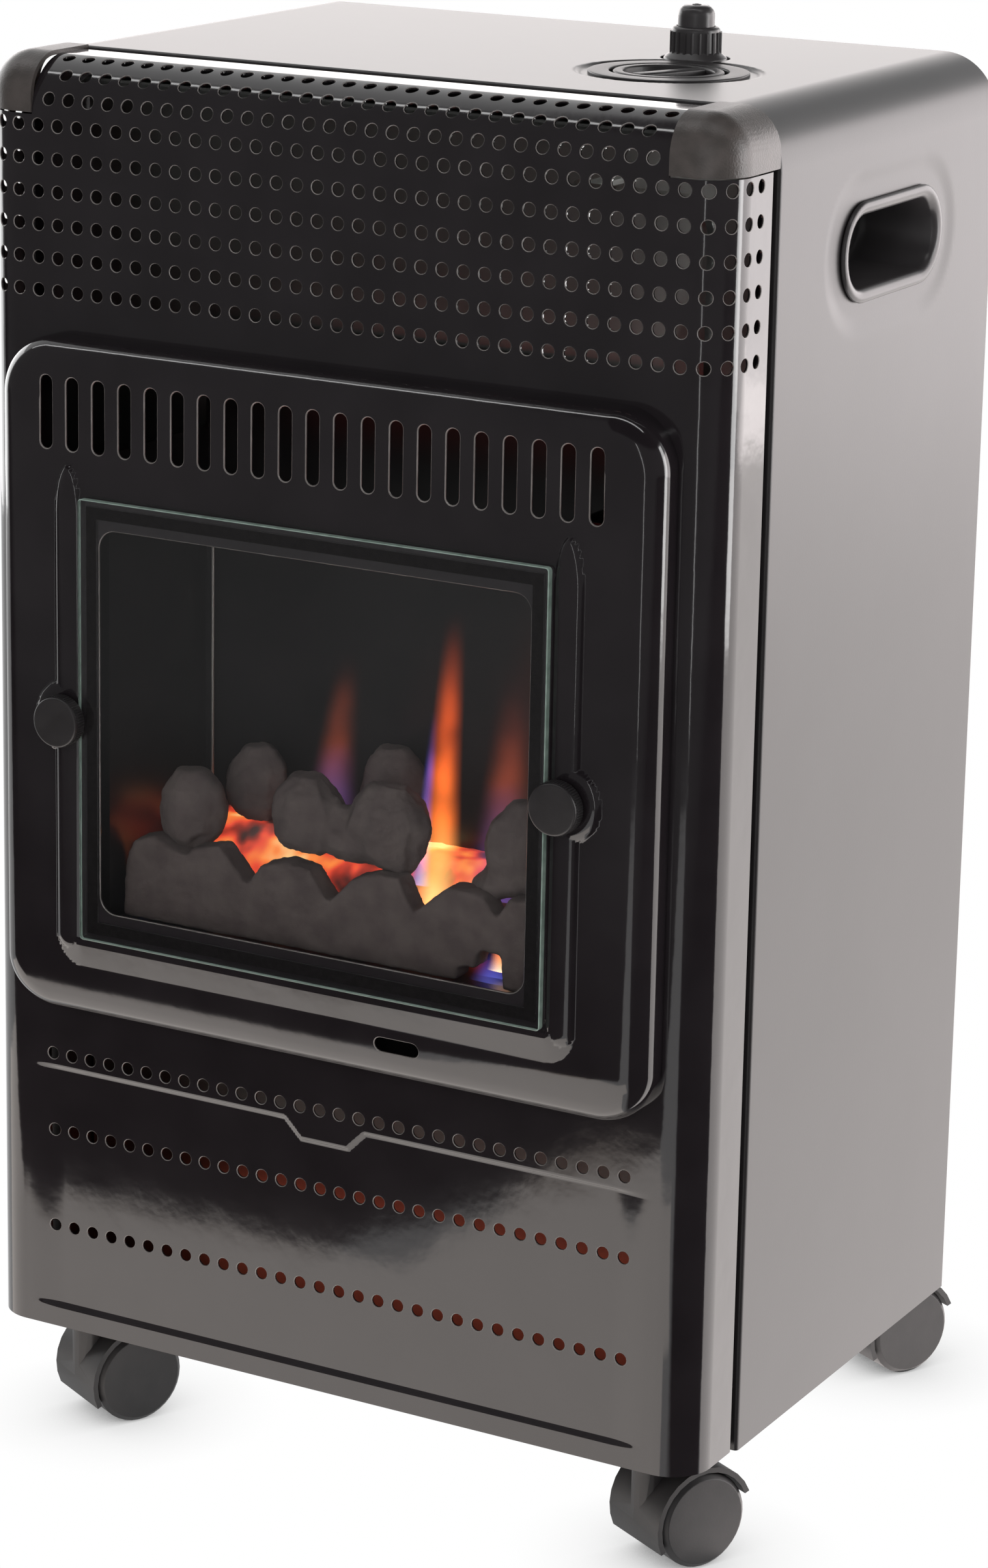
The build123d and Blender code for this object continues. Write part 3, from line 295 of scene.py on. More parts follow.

# %% [markdown]
# ## Finishes
#
# Each finish starts from the real coating or moulding. The front is sprayed and stoved gloss
# enamel: its colour hardly shows, and what the eye reads is the room mirrored in it, made wavy by
# orange peel a couple of millimetres wide. The edges of holes take a paler finish: a painted
# highlight, the ring of light they catch. The casing has a fine-grained satin powder coat.

# %% Painted finishes
# Sharp mirror images with soft waves in them
enamel = coated("gloss_black_stove_enamel", "#151214", "#191618", 40.0, 0.09,
                ((24.0, 0.35, 0.45, 1.0), (6.0, 0.05, 0.45, 1.0), (2.0, 0.012, 0.35, 1.0)), ior=1.6)
# A painted highlight: a pale colour that draws the ring of light round each hole
rim_painted_highlight = coated("enamel_rim_painted_highlight", "#575351", "#6B6765", 12.0, 0.25,
                     ((4.0, 0.02, 0.3, 1.0),), ior=1.6)
# A soft grey sheen without images; its grain is drawn coarser than the real one, to show at all
powder = coated("satin_black_powder_coat", "#1B191A", "#201E1F", 60.0, 0.33,
                ((1.0, 0.03, 0.55, 2.0), (14.0, 0.05, 0.25, 1.0)))
# Near black inside the chamber, with a broad dull glint
heat_paint = coated("matt_black_heat_paint", "#0B0A0B", "#121011", 25.0, 0.3,
                    ((2.0, 0.03, 0.4, 3.0),))
print("painted finishes", enamel.name, rim_painted_highlight.name, powder.name, heat_paint.name)

# %% [markdown]
# Moulded parts: the corner caps are coarsely grained plastic, so they stay matt and show a fine
# speckle in side light. The controls have a finer texture, the handle cups are nearly smooth, and
# the casters are glass-filled nylon.

# %% Moulded finishes
# Grey speckle; the grain is drawn about twice its real size, to show
grained = coated("grained_moulded_plastic", "#35312F", "#3F3A38", 8.0, 0.38,
                 ((1.0, 0.16, 0.9, 2.0),))
# Even and dark, with a faint velvet edge
control = coated("fine_matt_moulded_plastic", "#1A1819", "#211F20", 12.0, 0.4,
                 ((0.7, 0.07, 0.8, 2.0),))
# Dull black with broad, weak highlights
nylon = coated("moulded_grey_nylon", "#161516", "#1D1B1C", 10.0, 0.5, ((1.2, 0.05, 0.6, 2.0),))
# Smooth enough to carry a long soft light down the well
cup_plastic = coated("smooth_matt_moulded_plastic", "#282627", "#2E2C2D", 20.0, 0.3,
                     ((3.0, 0.02, 0.3, 2.0),))
# Dead matt and fuzzy
fibre = coated("pressed_fibre_gasket", "#181617", "#1F1D1E", 3.0, 0.9, ((1.0, 0.2, 0.8, 3.0),))
print("moulded finishes", grained.name, control.name, nylon.name, cup_plastic.name, fibre.name)

# %% [markdown]
# Metals keep the default index of refraction and differ in colour, roughness and the marks their
# making leaves: rolling lines on aluminised sheet, turning marks on brass, spangle on zinc.

# %% Metals
def rolled_metal(name, colour, roughness, line_mm, depth_mm, stretch=(1, 1, 12)):
    """A bare metal with fine lines drawn out along one direction."""
    material, tree, where = new_material(name)
    drawn_out = add_node(tree, "ShaderNodeMapping",
                         {"Vector": where, "Scale": tuple(1 / s for s in stretch)})
    marks = add_node(tree, "ShaderNodeTexNoise",
                     {"Vector": drawn_out, "Scale": per_metre(line_mm), "Detail": 3.0})
    spread = add_node(tree, "ShaderNodeMapRange", {"Value": marks, "To Min": roughness - 0.07,
                                                   "To Max": roughness + 0.09})
    relief = add_node(tree, "ShaderNodeBump", {"Height": marks, "Strength": 0.3,
                                               "Distance": depth_mm / 1000})
    shader = add_node(tree, "ShaderNodeBsdfPrincipled",
                      {"Base Color": linear(colour), "Metallic": 1.0, "Roughness": spread,
                       "Normal": relief})
    add_node(tree, "ShaderNodeOutputMaterial", {"Surface": shader})
    return material


# A dull silver, streaked upwards
aluminised = rolled_metal("aluminised_rolled_sheet", "#B4B5B3", 0.38, 1.2, 0.02)
# Bright and slightly mottled
zinc = rolled_metal("zinc_plated_steel", "#BFC0BD", 0.28, 1.5, 0.01, (1, 1, 1))
# Warm yellow with rings round the turned parts
brass = rolled_metal("turned_brass", "#C9A659", 0.25, 0.6, 0.01, (12, 12, 1))
# Silvery, streaked along the tube
pipe_metal = rolled_metal("drawn_aluminium_tube", "#B9BAB8", 0.3, 0.8, 0.01)
# A thin pale line where light strikes the fold
bright_fold = rolled_metal("bright_folded_steel", "#A8A4A0", 0.45, 1.0, 0.02)
print("metals", aluminised.name, zinc.name, brass.name, pipe_metal.name, bright_fold.name)

# %% [markdown]
# Glass and refractory. The pane is clear float glass; its ground edge gathers the green tint, so
# the edge is a second material on the same piece. The coals are moulded ceramic fibre: dead matt,
# a little pitted, grey-brown where the fire has worked on it. The bed behind them glows in patches
# from dull red to yellow, so its colour is a ramp over noise of a coal's size.

# %% Glass and refractory
def pane_glass():
    """Mirrors the dark side of the room and lets the fire show, with a slight float wave."""
    material, tree, where = new_material("clear_float_glass")
    wave = bumps(tree, where, ((60.0, 0.02, 0.1, 0.0),))
    shader = add_node(tree, "ShaderNodeBsdfPrincipled",
                      {"Base Color": linear("#FBFCFC"), "Roughness": 0.0, "IOR": 1.5,
                       "Transmission Weight": 1.0, "Normal": wave})
    add_node(tree, "ShaderNodeOutputMaterial", {"Surface": shader})
    return material


def glowing_fibre():
    """The same fibre as the coals, lit from within by its own heat."""
    material, tree, where = new_material("ceramic_fibre_glowing")
    heat = add_node(tree, "ShaderNodeTexNoise",
                    {"Vector": where, "Scale": per_metre(24), "Detail": 2.0})
    colour = add_node(tree, "ShaderNodeValToRGB", {"Fac": heat})
    set_stops(colour, (0.40, "#2A0C08"), (0.46, "#8C2010"), (0.52, "#E8462A"),
              (0.60, "#FF8A3C"), (0.70, "#FFD08A"))
    shader = add_node(tree, "ShaderNodeBsdfPrincipled",
                      {"Base Color": linear("#54504E"), "Roughness": 0.95,
                       "Emission Color": colour, "Emission Strength": 1.05,
                       "Normal": bumps(tree, where, ((6.0, 0.5, 0.5, 4.0),))})
    add_node(tree, "ShaderNodeOutputMaterial", {"Surface": shader})
    return material


glass, glow_fibre = pane_glass(), glowing_fibre()
# A matt green line round the pane
glass_edge = coated("ground_green_glass_edge", "#66766E", "#7C8C84", 5.0, 0.3,
                    ((1.0, 0.02, 0.4, 1.0),))
# Dry, crumbly and without any shine
coal_fibre = coated("moulded_ceramic_fibre", "#403837", "#4C4442", 14.0, 0.95,
                    ((6.0, 0.5, 0.5, 4.0), (1.2, 0.2, 0.6, 3.0)))
# Clean white with a wet-looking highlight
ceramic = coated("glazed_white_insulator", "#DCD6CC", "#E6E1D8", 6.0, 0.15,
                 ((3.0, 0.02, 0.2, 1.0),))
print("glass and ceramics", glass.name, coal_fibre.name, glow_fibre.name, ceramic.name)

# %% [markdown]
# ## Sheet metal: blank, punch, fold
#
# The panel, the fire surround and the casing are each one sheet. A modeller could carve them from
# boxes, but then every rolled edge and pressed step is a compromise. Here the sheet is laid flat
# as a closed slab one sheet thick, so that holes are simple to punch. Bending is then one formula
# from flat coordinates (s along, w into the sheet, t up) to space, and the same formula turns the
# normals, so that the gloss paint mirrors the room without facets.

# %% Blank
def lines(*spans):
    """Sorted grid lines from (start, end, most spacing) spans."""
    made = [np.linspace(a, b, max(2, math.ceil((b - a) / gap) + 1)) for a, b, gap in spans]
    return np.unique(np.round(np.concatenate(made), 4))


def mirrored_lines(half, *others):
    """Lines on one half, their mirror images, and any others, in order."""
    return np.unique(np.concatenate([-half, half, *others]))


def thinned(values, least=0.25):
    """Drops grid lines that nearly coincide."""
    kept = [values[0]]
    for value in values[1:]:
        if value - kept[-1] > least:
            kept.append(value)
    return np.array(kept)


def blank(name, across, up, keep=None):
    """A flat closed slab of the grid's cells, or of those for which keep(s, t) is true."""
    across, up = thinned(across), thinned(up)
    middles = np.meshgrid((across[1:] + across[:-1]) / 2, (up[1:] + up[:-1]) / 2, indexing="ij")
    cell = np.pad(keep(*middles) if keep else np.full(middles[0].shape, True), 1)
    faces = []
    for i, j in np.argwhere(cell):
        ring = [2 * (a * len(up) + b) for a, b in ((i - 1, j - 1), (i, j - 1), (i, j), (i - 1, j))]
        faces += [ring, [corner + 1 for corner in reversed(ring)]]
        beside = (cell[i, j - 1], cell[i + 1, j], cell[i, j + 1], cell[i - 1, j])
        for edge, there in enumerate(beside):
            if not there:
                p, q = ring[edge], ring[(edge + 1) % 4]
                faces.append([q, p, p + 1, q + 1])
    grid = np.array([(s, w, t) for s in across for t in up for w in (0.0, SHEET)])
    used = np.unique([corner for face in faces for corner in face])
    place = np.full(len(grid), -1)
    place[used] = np.arange(len(used))
    mesh = bpy.data.meshes.new(name)
    mesh.from_pydata(grid[used].tolist(), [], [[int(place[c]) for c in face] for face in faces])
    return added(name, mesh)


print("sheet", SHEET, "mm thick")

# %% [markdown]
# The punch is one Geometry Nodes tree for every hole: round, slot or rounded rectangle. Four
# cylinders at the corners of a small grid are wrapped by a convex hull, which gives any of those
# outlines; a second hull of cones breaks the hole's edge as the tool does. The shapes are set on
# the points of another object and cut from the sheet in one go.

# %% Trees and how they are run
def new_tree(name, sockets):
    """An empty geometry tree with its sockets, given as (name, kind, way)."""
    tree = bpy.data.node_groups.new(name, "GeometryNodeTree")
    for socket, kind, way in sockets:
        tree.interface.new_socket(name=socket, in_out=way, socket_type="NodeSocket" + kind)
    return tree, add_node(tree, "NodeGroupInput").outputs


def applied(obj, tree, **values):
    """Runs a tree on an object with its named inputs set, and keeps the plain mesh."""
    modifier = obj.modifiers.new("work", "NODES")
    modifier.node_group = tree
    for item in tree.interface.items_tree:
        if item.name in values:
            modifier[item.identifier] = values[item.name]
    obj.update_tag()
    obj.data = baked(obj)


def baked(obj):
    """The mesh that an object's modifiers give; the modifiers are removed."""
    bpy.context.view_layer.update()
    ready = obj.evaluated_get(bpy.context.evaluated_depsgraph_get())
    mesh = bpy.data.meshes.new_from_object(ready)
    obj.modifiers.clear()
    return mesh


print("trees can be run")

# %% [markdown]
# Sizes inside the punch tree: a cylinder's radius is the hole's corner radius, and the grid is as
# much smaller than the hole as two of them. The cone starts a little in front of the sheet, so
# the cut never ends exactly on its face, and is wider there by the broken edge and that distance.

# %% Punch
BEFORE_FACE = 0.4       # how far in front of the sheet the cone starts
PUNCH_LENGTH = 9.0
LEAST_SPAN = 0.001      # a grid of no size would lose its points


def punch_tree():
    tree, given = new_tree("punch_sheet", (
        ("Sheet", "Geometry", "INPUT"), ("Places", "Object", "INPUT"), ("Width", "Float", "INPUT"),
        ("Height", "Float", "INPUT"), ("Corner", "Float", "INPUT"), ("Edge", "Float", "INPUT"),
        ("Sides", "Int", "INPUT"), ("Finish", "Material", "INPUT"),
        ("Punched", "Geometry", "OUTPUT")))
    places = add_node(tree, "GeometryNodeObjectInfo", {"Object": given["Places"]})
    twice = add_node(tree, "ShaderNodeMath", (given["Corner"], 2.0), operation="MULTIPLY")
    spans = []
    for side in ("Width", "Height"):
        span = add_node(tree, "ShaderNodeMath", (given[side], twice), operation="SUBTRACT")
        spans.append(add_node(tree, "ShaderNodeMath", (span, LEAST_SPAN), operation="MAXIMUM"))
    corners = add_node(tree, "GeometryNodeMeshGrid", {"Size X": spans[0], "Size Y": spans[1],
                                                      "Vertices X": 2, "Vertices Y": 2})
    drift = add_node(tree, "ShaderNodeMath", (given["Edge"], BEFORE_FACE), operation="ADD")
    outer = add_node(tree, "ShaderNodeMath", (given["Corner"], given["Edge"]), operation="ADD")
    outer = add_node(tree, "ShaderNodeMath", (outer, BEFORE_FACE), operation="ADD")
    hole = add_node(tree, "GeometryNodeMeshCylinder", {"Vertices": given["Sides"],
                                                       "Radius": given["Corner"],
                                                       "Depth": PUNCH_LENGTH})
    cone = add_node(tree, "GeometryNodeMeshCone",
                    {"Vertices": given["Sides"], "Radius Top": given["Corner"],
                     "Radius Bottom": outer, "Depth": drift})
    lowered = add_node(tree, "GeometryNodeTransform",
                       {"Geometry": cone, "Translation": (0.0, 0.0, -BEFORE_FACE)})
    cut = add_node(tree, "GeometryNodeMeshBoolean", {"Mesh 1": given["Sheet"]},
                   operation="DIFFERENCE", solver="MANIFOLD")
    for shape in (hole, lowered):
        four = add_node(tree, "GeometryNodeInstanceOnPoints",
                        {"Points": corners, "Instance": shape})
        joined = add_node(tree, "GeometryNodeRealizeInstances", {"Geometry": four})
        hull = add_node(tree, "GeometryNodeConvexHull", {"Geometry": joined})
        upright = add_node(tree, "GeometryNodeTransform",
                           {"Geometry": hull, "Rotation": (math.radians(-90), 0.0, 0.0)})
        spread = add_node(tree, "GeometryNodeInstanceOnPoints",
                          {"Points": places.outputs["Geometry"], "Instance": upright})
        tool = add_node(tree, "GeometryNodeRealizeInstances", {"Geometry": spread})
        tree.links.new(tool.outputs["Geometry"], cut.inputs["Mesh 2"])
    whole = add_node(tree, "GeometryNodeRealizeInstances", {"Geometry": cut})
    painted = add_node(tree, "GeometryNodeSetMaterial",
                       {"Geometry": whole, "Material": given["Finish"]})
    add_node(tree, "NodeGroupOutput", {"Punched": painted})
    return tree


PUNCH = punch_tree()


def punched(flat, points, width, height, corner, edge, sides, finish):
    """Punches one shape of hole at every (s, t) place."""
    marks = bpy.data.meshes.new("marks")
    marks.from_pydata([(s, 0.0, t) for s, t in points], [], [])
    places = added("marks", marks)
    before = len(flat.data.polygons)
    applied(flat, PUNCH, Places=places, Width=float(width), Height=float(height),
            Corner=float(corner), Edge=float(edge), Sides=sides, Finish=finish)
    bpy.data.objects.remove(places)
    print("punched", flat.name, len(points), "holes, faces", before, "to", len(flat.data.polygons))


# %% [markdown]
# Folding moves every point by one formula. Normals follow by the inverse transpose of the
# formula's slope, worked out by small differences, so holes and pressed steps all keep the shading
# that a rolled or pressed sheet has. The broken edge of each hole is shaded as a tiny quarter
# round and may take a finish of its own, the rim: its pale colour is a painted highlight, the
# fine ring of light round enamelled holes.

# %% Fold
EDGE_FACING = (-0.9, -0.5)  # a broken edge's normal, along w, lies between these


def arrays(items, key, width=3):
    """One attribute of many mesh elements as an array."""
    values = np.empty(len(items) * width, np.float32 if width == 3 else np.int32)
    items.foreach_get(key, values)
    return values.reshape(-1, width).astype(float) if width == 3 else values


def formed(flat, form, body, *nodes, split=35.0, rim=None):
    """Bends a flat sheet by form, which maps (s, w, t) to drawing millimetres."""
    mesh = flat.data
    facing = arrays(mesh.polygons, "normal")
    broken = (facing[:, 1] > EDGE_FACING[0]) & (facing[:, 1] < EDGE_FACING[1])
    # The rim finish on broken edges is a painted highlight: the pale ring of light round each hole
    if rim:
        finish = next(given for given in mesh.materials if given)
        mesh.materials.clear()
        mesh.materials.append(finish)
        mesh.materials.append(rim)
        mesh.polygons.foreach_set("material_index", broken.astype(np.int32))
    mesh.set_sharp_from_angle(angle=math.radians(split))
    points = arrays(mesh.vertices, "co")
    corners = arrays(mesh.loops, "vertex_index", 1)
    normals = arrays(mesh.corner_normals, "vector")
    around = arrays(mesh.polygons, "loop_total", 1)
    inward = np.repeat(facing, around, axis=0) * (1, 0, 1)
    inward /= np.maximum(np.linalg.norm(inward, axis=1, keepdims=True), 1e-6)
    rolled_edge = np.where(points[corners][:, 1:2] < 0.1, (0.0, -1.0, 0.0), inward)
    normals = np.where(np.repeat(broken, around)[:, None], rolled_edge, normals)
    step = 0.02
    slopes = [(form(points + step * axis) - form(points - step * axis)) / (2 * step)
              for axis in np.eye(3)]
    turned = np.linalg.inv(np.stack(slopes, axis=2) + 1e-9 * np.eye(3)).transpose(0, 2, 1)
    normals = np.einsum("nij,nj->ni", turned[corners], normals)
    normals /= np.linalg.norm(normals, axis=1, keepdims=True)
    mesh.vertices.foreach_set("co", placed(form(points)).ravel().astype(np.float32))
    mesh.update()
    mesh.normals_split_custom_set(normals.tolist())
    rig.ride(flat, body)
    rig.replaces(flat, *nodes)
    print("formed", flat.name, len(mesh.polygons), "faces")


def smooth_step(value):
    """0 below 0, 1 above 1, and a smooth rise between."""
    value = np.clip(value, 0, 1)
    return value * value * (3 - 2 * value)


def rounded_box(x, y, half_x, half_y, radius):
    """Signed distance to a rounded rectangle, negative inside."""
    qx, qy = np.abs(x) - half_x + radius, np.abs(y) - half_y + radius
    return (np.hypot(np.maximum(qx, 0), np.maximum(qy, 0))
            + np.minimum(np.maximum(qx, qy), 0) - radius)


def rolled(run, radius, depth):
    """A run past a bend's start: how far sideways and back it lands, and what is left of it."""
    turn = np.clip(run / radius, 0, math.pi / 2)
    out, back = (radius - depth) * np.sin(turn), radius - (radius - depth) * np.cos(turn)
    return out, back, np.maximum(run - radius * math.pi / 2, 0)


# %% [markdown]
# ## Front panel
#
# One enamelled sheet: it wraps round both front corners, rolls back over the top, and is
# perforated in rows, which are staggered only over the crest. Low down a field is pressed in by
# one and a half millimetres, with a notch in its top edge. The grille's rows go round the corners,
# which the flat blank makes easy. Its edges end in a small hem, turned in.

# %% Front panel measures
CORNER_R, CREST_R, HEM_R = 22.0, 28.0, 2.0
PANEL_FLAT, CREST_Z = PANEL_HALF - CORNER_R, PANEL_TOP - CREST_R
PANEL_BACK = 46.0
HEM_RUN, HEM_LIP = HEM_R * math.pi / 2, 6.0
SIDE_RUN, CREST_RUN = PANEL_BACK - CORNER_R - HEM_R, PANEL_BACK - CREST_R - HEM_R
CREST_HALF = 177.5
OPENING_HALF, OPENING_FOOT, OPENING_TOP = 178.0, 255.0, 589.0
FIELD_Z, FIELD_HALF_X, FIELD_HALF_Z, FIELD_R = 143.0, 199.0, 68.0, 9.0
FIELD_DEEP, FIELD_FLANK = 1.5, 3.2
FIELD_END, FIELD_FADE = 184.0, 22.0     # the field fades out before the corners
NOTCH_X, NOTCH_HALF, NOTCH_FOOT, NOTCH_TOP = -3.0, 23.0, 201.0, 211.0
DIAGONAL = 1.42                         # turns a height on a 45 degree edge into a distance
PITCH = 11.6
GRILLE_TOP, GRILLE_STEP, GRILLE_END = 702.0, 16.5, 236.0
CREST_ROW, CREST_STEP, CREST_END = 715.4, 13.4, 172.0
LOW_ROWS = (217.0, 174.3, 120.9)
ROUND_HOLE = 6.5


def hemmed(past, straight, depth):
    """A wall's end with its hem: how far inward and how far along it lands."""
    hem = np.maximum(past - straight, 0)
    turn = np.clip(hem / HEM_R, 0, math.pi / 2)
    inward = (HEM_R - depth) * (1 - np.cos(turn)) + np.maximum(hem - HEM_RUN, 0)
    return inward, np.minimum(past, straight) + (HEM_R - depth) * np.sin(turn)


def panel_form(points):
    s, w, t = points.T
    slant = (NOTCH_HALF - np.abs(s - NOTCH_X) - (NOTCH_TOP - t)) / DIAGONAL
    field = np.maximum(rounded_box(s, t - FIELD_Z, FIELD_HALF_X, FIELD_HALF_Z, FIELD_R),
                       np.minimum(t - NOTCH_FOOT, slant))
    w = w + (FIELD_DEEP * smooth_step(-field / FIELD_FLANK)
             * smooth_step((FIELD_END - np.abs(s)) / FIELD_FADE))
    out, back, past = rolled(np.maximum(np.abs(s) - PANEL_FLAT, 0), CORNER_R, w)
    inward, along = hemmed(past, SIDE_RUN, w)
    x = np.where(np.abs(s) > PANEL_FLAT, np.sign(s) * (PANEL_FLAT + out - inward), s)
    up, rear, over = rolled(np.maximum(t - CREST_Z, 0), CREST_R, w)
    down, along_top = hemmed(over, CREST_RUN, w)
    z = np.where(t > CREST_Z, CREST_Z + up - down, t)
    crest = (t > CREST_Z) & (np.abs(s) < PANEL_FLAT)
    return np.stack([x, np.where(crest, rear + along_top, back + along), z], axis=1)


print("panel", round(2 * PANEL_HALF, 1), "wide, crest from", round(CREST_Z, 1), "mm up")


# %% Front panel
def wall_spans(start, radius, run):
    """Spans of a bend, the straight wall after it, its hem and the hem's lip."""
    end = start + radius * math.pi / 2
    hem, lip = end + run, end + run + HEM_RUN
    return (start, end, 2.2), (end, hem, 8), (hem, lip, 0.8), (lip, lip + HEM_LIP, 6)


half_lines = lines((0, FIELD_END - FIELD_FADE, 18), (FIELD_END - FIELD_FADE, FIELD_END, 2.2),
                   (FIELD_END, PANEL_FLAT, 4), *wall_spans(PANEL_FLAT, CORNER_R, SIDE_RUN))
panel_across = mirrored_lines(half_lines, lines((-27, 21, 1.2)),
                              (-CREST_HALF, CREST_HALF, -OPENING_HALF, OPENING_HALF))
# Close lines only where the sheet bends; the rest is flat and needs few
panel_up = lines((PANEL_FOOT, 74.5, 5), (74.5, 80.5, 0.8), (80.5, 196, 12), (196, 211.5, 0.8),
                 (211.5, OPENING_FOOT, 12), (OPENING_FOOT, OPENING_TOP, 18),
                 (OPENING_TOP, CREST_Z, 12), *wall_spans(CREST_Z, CREST_R, CREST_RUN))
panel = blank("front_panel_sheet", panel_across, panel_up,
              lambda s, t: ~((np.abs(s) < OPENING_HALF) & (t > OPENING_FOOT) & (t < OPENING_TOP))
              & ~((np.abs(s) > CREST_HALF) & (t > CREST_Z)))
grille = [((c - 20) * PITCH, GRILLE_TOP - GRILLE_STEP * r) for r in range(6) for c in range(41)]
crest_holes = [((c - 14.5 + (r % 2) / 2) * PITCH, CREST_ROW + CREST_STEP * r)
               for r in range(3) for c in range(30)]
low_holes = [((c - 14.5) * PITCH, z) for z in LOW_ROWS for c in range(30)]
holes = [(s, t) for s, t in grille if abs(s) < GRILLE_END]
holes += [(s, t) for s, t in crest_holes if abs(s) < CREST_END] + low_holes
punched(panel, holes, ROUND_HOLE, ROUND_HOLE, ROUND_HOLE / 2, 0.4, 16, enamel)
# The holes' edges take the painted highlight as their rim
formed(panel, panel_form, "cabinet", "front_panel", rim=rim_painted_highlight)
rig.slot(panel, "front_black")

# %% [markdown]
# ## Fire surround
#
# A deep drawn frame. Its face lies 21 mm in front of the panel; the rim rolls over on a 14 mm
# radius and runs straight back to the panel. Drawing pulls the face back a little towards its
# lower roll, which spreads the light there into a wide band. Round the glass a rib is raised by
# 3 mm: two legs, swollen where the knobs pass and pointed at their upper ends, and under the glass
# a run with one long even slope. Corners fan out: the square grid's corner is turned into a
# quarter disc, so every ring of the roll stays one arc.

# %% Fire surround measures
DOOR_Z = 422.0
DOOR_HALF_X, DOOR_HALF_Z = drawn("fire_surround")[1][0], 177.0
DOOR_PROUD, DOOR_R, DOOR_ROLL = 21.4, 30.0, 14.0
CORE_X, CORE_Z, CORE_R = DOOR_HALF_X - DOOR_R, DOOR_HALF_Z - DOOR_R, DOOR_R - DOOR_ROLL
ROLL_END = CORE_R + DOOR_ROLL * math.pi / 2
DOOR_RUN = ROLL_END + DOOR_PROUD - DOOR_ROLL
RIB_X, RIB_HALF, RIB_PROUD = 142.1, 8.4, 3.0
RIB_TIP, RIB_TAPER, BOSS_R = 130.5, 26.0, 20.3
LEG_FOOT_SHARE, SILL_FOOT_SHARE = 0.14, 0.1     # how much of a flank its rounded foot takes
SILL_RUN = 13.0
LEAN, LEAN_START, LEAN_FADE, LEAN_POWER = 2.2, 2.0, 6.0, 1.5
LEAN_ELSEWHERE = 0.3                            # share of the lean that the other edges get
WINDOW_Z, WINDOW_WIDE, WINDOW_HIGH, WINDOW_R = 407.5, 245.0, 199.0, 9.0
GLASS_X, GLASS_Z = 133.7, 115.0
SLOT_PITCH, SLOT_Z, SLOT_WIDE, SLOT_HIGH = 15.53, 563.0, 7.0, 37.0
VENT_PLACE, VENT_WIDE, VENT_HIGH = (50.8, 267.5), 25.0, 7.5
KNOB_HOLE = 6.2
SLACK = 0.01    # keeps a corner radius just under half the hole, so a straight side is left


def rib_distance(s, t):
    """Signed distance to the outline of the rib's legs and bosses."""
    z = t - WINDOW_Z
    taper = np.clip((RIB_TIP - z) / RIB_TAPER, 0, 1)
    half = RIB_HALF * np.sqrt(np.clip(1 - (1 - taper) ** 2, 0, 1)) - np.clip(z - RIB_TIP, 0, 99)
    leg = np.hypot(np.abs(s) - RIB_X, np.minimum(z + GLASS_Z, 0)) - half
    leg = np.where(z > RIB_TIP, np.hypot(np.abs(s) - RIB_X, z - RIB_TIP), leg)
    boss = np.hypot(np.abs(s) - RIB_X, z) - BOSS_R
    glass_edge_distance = np.maximum(np.abs(s) - GLASS_X, np.abs(z) - GLASS_Z)
    return np.maximum(np.minimum(leg, boss), -glass_edge_distance)


def sill_rise(s, t):
    """The rib's bottom run: a long even slope below the glass, round at its two corners."""
    z = t - WINDOW_Z
    away = np.hypot(np.maximum(np.abs(s) - GLASS_X, 0), np.minimum(z + GLASS_Z, 0))
    within = (z < -GLASS_Z) | (np.abs(s) > GLASS_X) & (z < -GLASS_Z + 0.01)
    return np.where(within, np.clip((2 * RIB_HALF - away) / SILL_RUN, 0, 1), 0)


print("surround", round(2 * DOOR_HALF_X, 1), "wide,", 2 * DOOR_HALF_Z, "high, window at", WINDOW_Z)


# %% Fire surround
def door_form(points):
    s, w, t = points.T
    rise = np.clip(-rib_distance(s, t) / RIB_HALF, 0, 1)
    leg = (1 - (1 - rise) ** 3) * smooth_step(rise / LEG_FOOT_SHARE)
    sill = sill_rise(s, t)
    w = w - RIB_PROUD * np.maximum(leg, sill * smooth_step(sill / SILL_FOOT_SHARE))
    u, v = np.abs(s) - CORE_X, np.abs(t - DOOR_Z) - CORE_Z
    corner = (u > 0) & (v > 0)
    run = np.maximum(np.maximum(u, v), 0)
    part = np.where(corner, np.minimum(u, v) / np.maximum(run, 1e-6), 0) * math.pi / 4
    angle = np.where(u >= v, part, math.pi / 2 - part)
    lean = np.clip((run - LEAN_START) / (CORE_R - LEAN_START), 0, 1) ** LEAN_POWER
    fade = np.clip(run - CORE_R, 0, LEAN_FADE)
    lean += LEAN_POWER / (CORE_R - LEAN_START) * (fade - fade ** 2 / (2 * LEAN_FADE))
    downwards = LEAN_ELSEWHERE + (1 - LEAN_ELSEWHERE) * np.sin(angle) ** 2
    w = w + LEAN * lean * np.where(t < DOOR_Z, downwards, LEAN_ELSEWHERE * np.cos(angle) ** 2)
    out, back, past = rolled(np.maximum(run - CORE_R, 0), DOOR_ROLL, w)
    spread = np.minimum(run, CORE_R) + np.where(run > CORE_R, out, 0)
    y = np.where(run > CORE_R, back + past, w) - DOOR_PROUD
    x = np.where(corner, CORE_X + spread * np.cos(angle),
                 np.where(u > 0, CORE_X + spread, np.abs(s)))
    z = np.where(corner, CORE_Z + spread * np.sin(angle),
                 np.where(v > 0, CORE_Z + spread, np.abs(t - DOOR_Z)))
    return np.stack([np.sign(s) * x, y, DOOR_Z + np.sign(t - DOOR_Z) * z], axis=1)


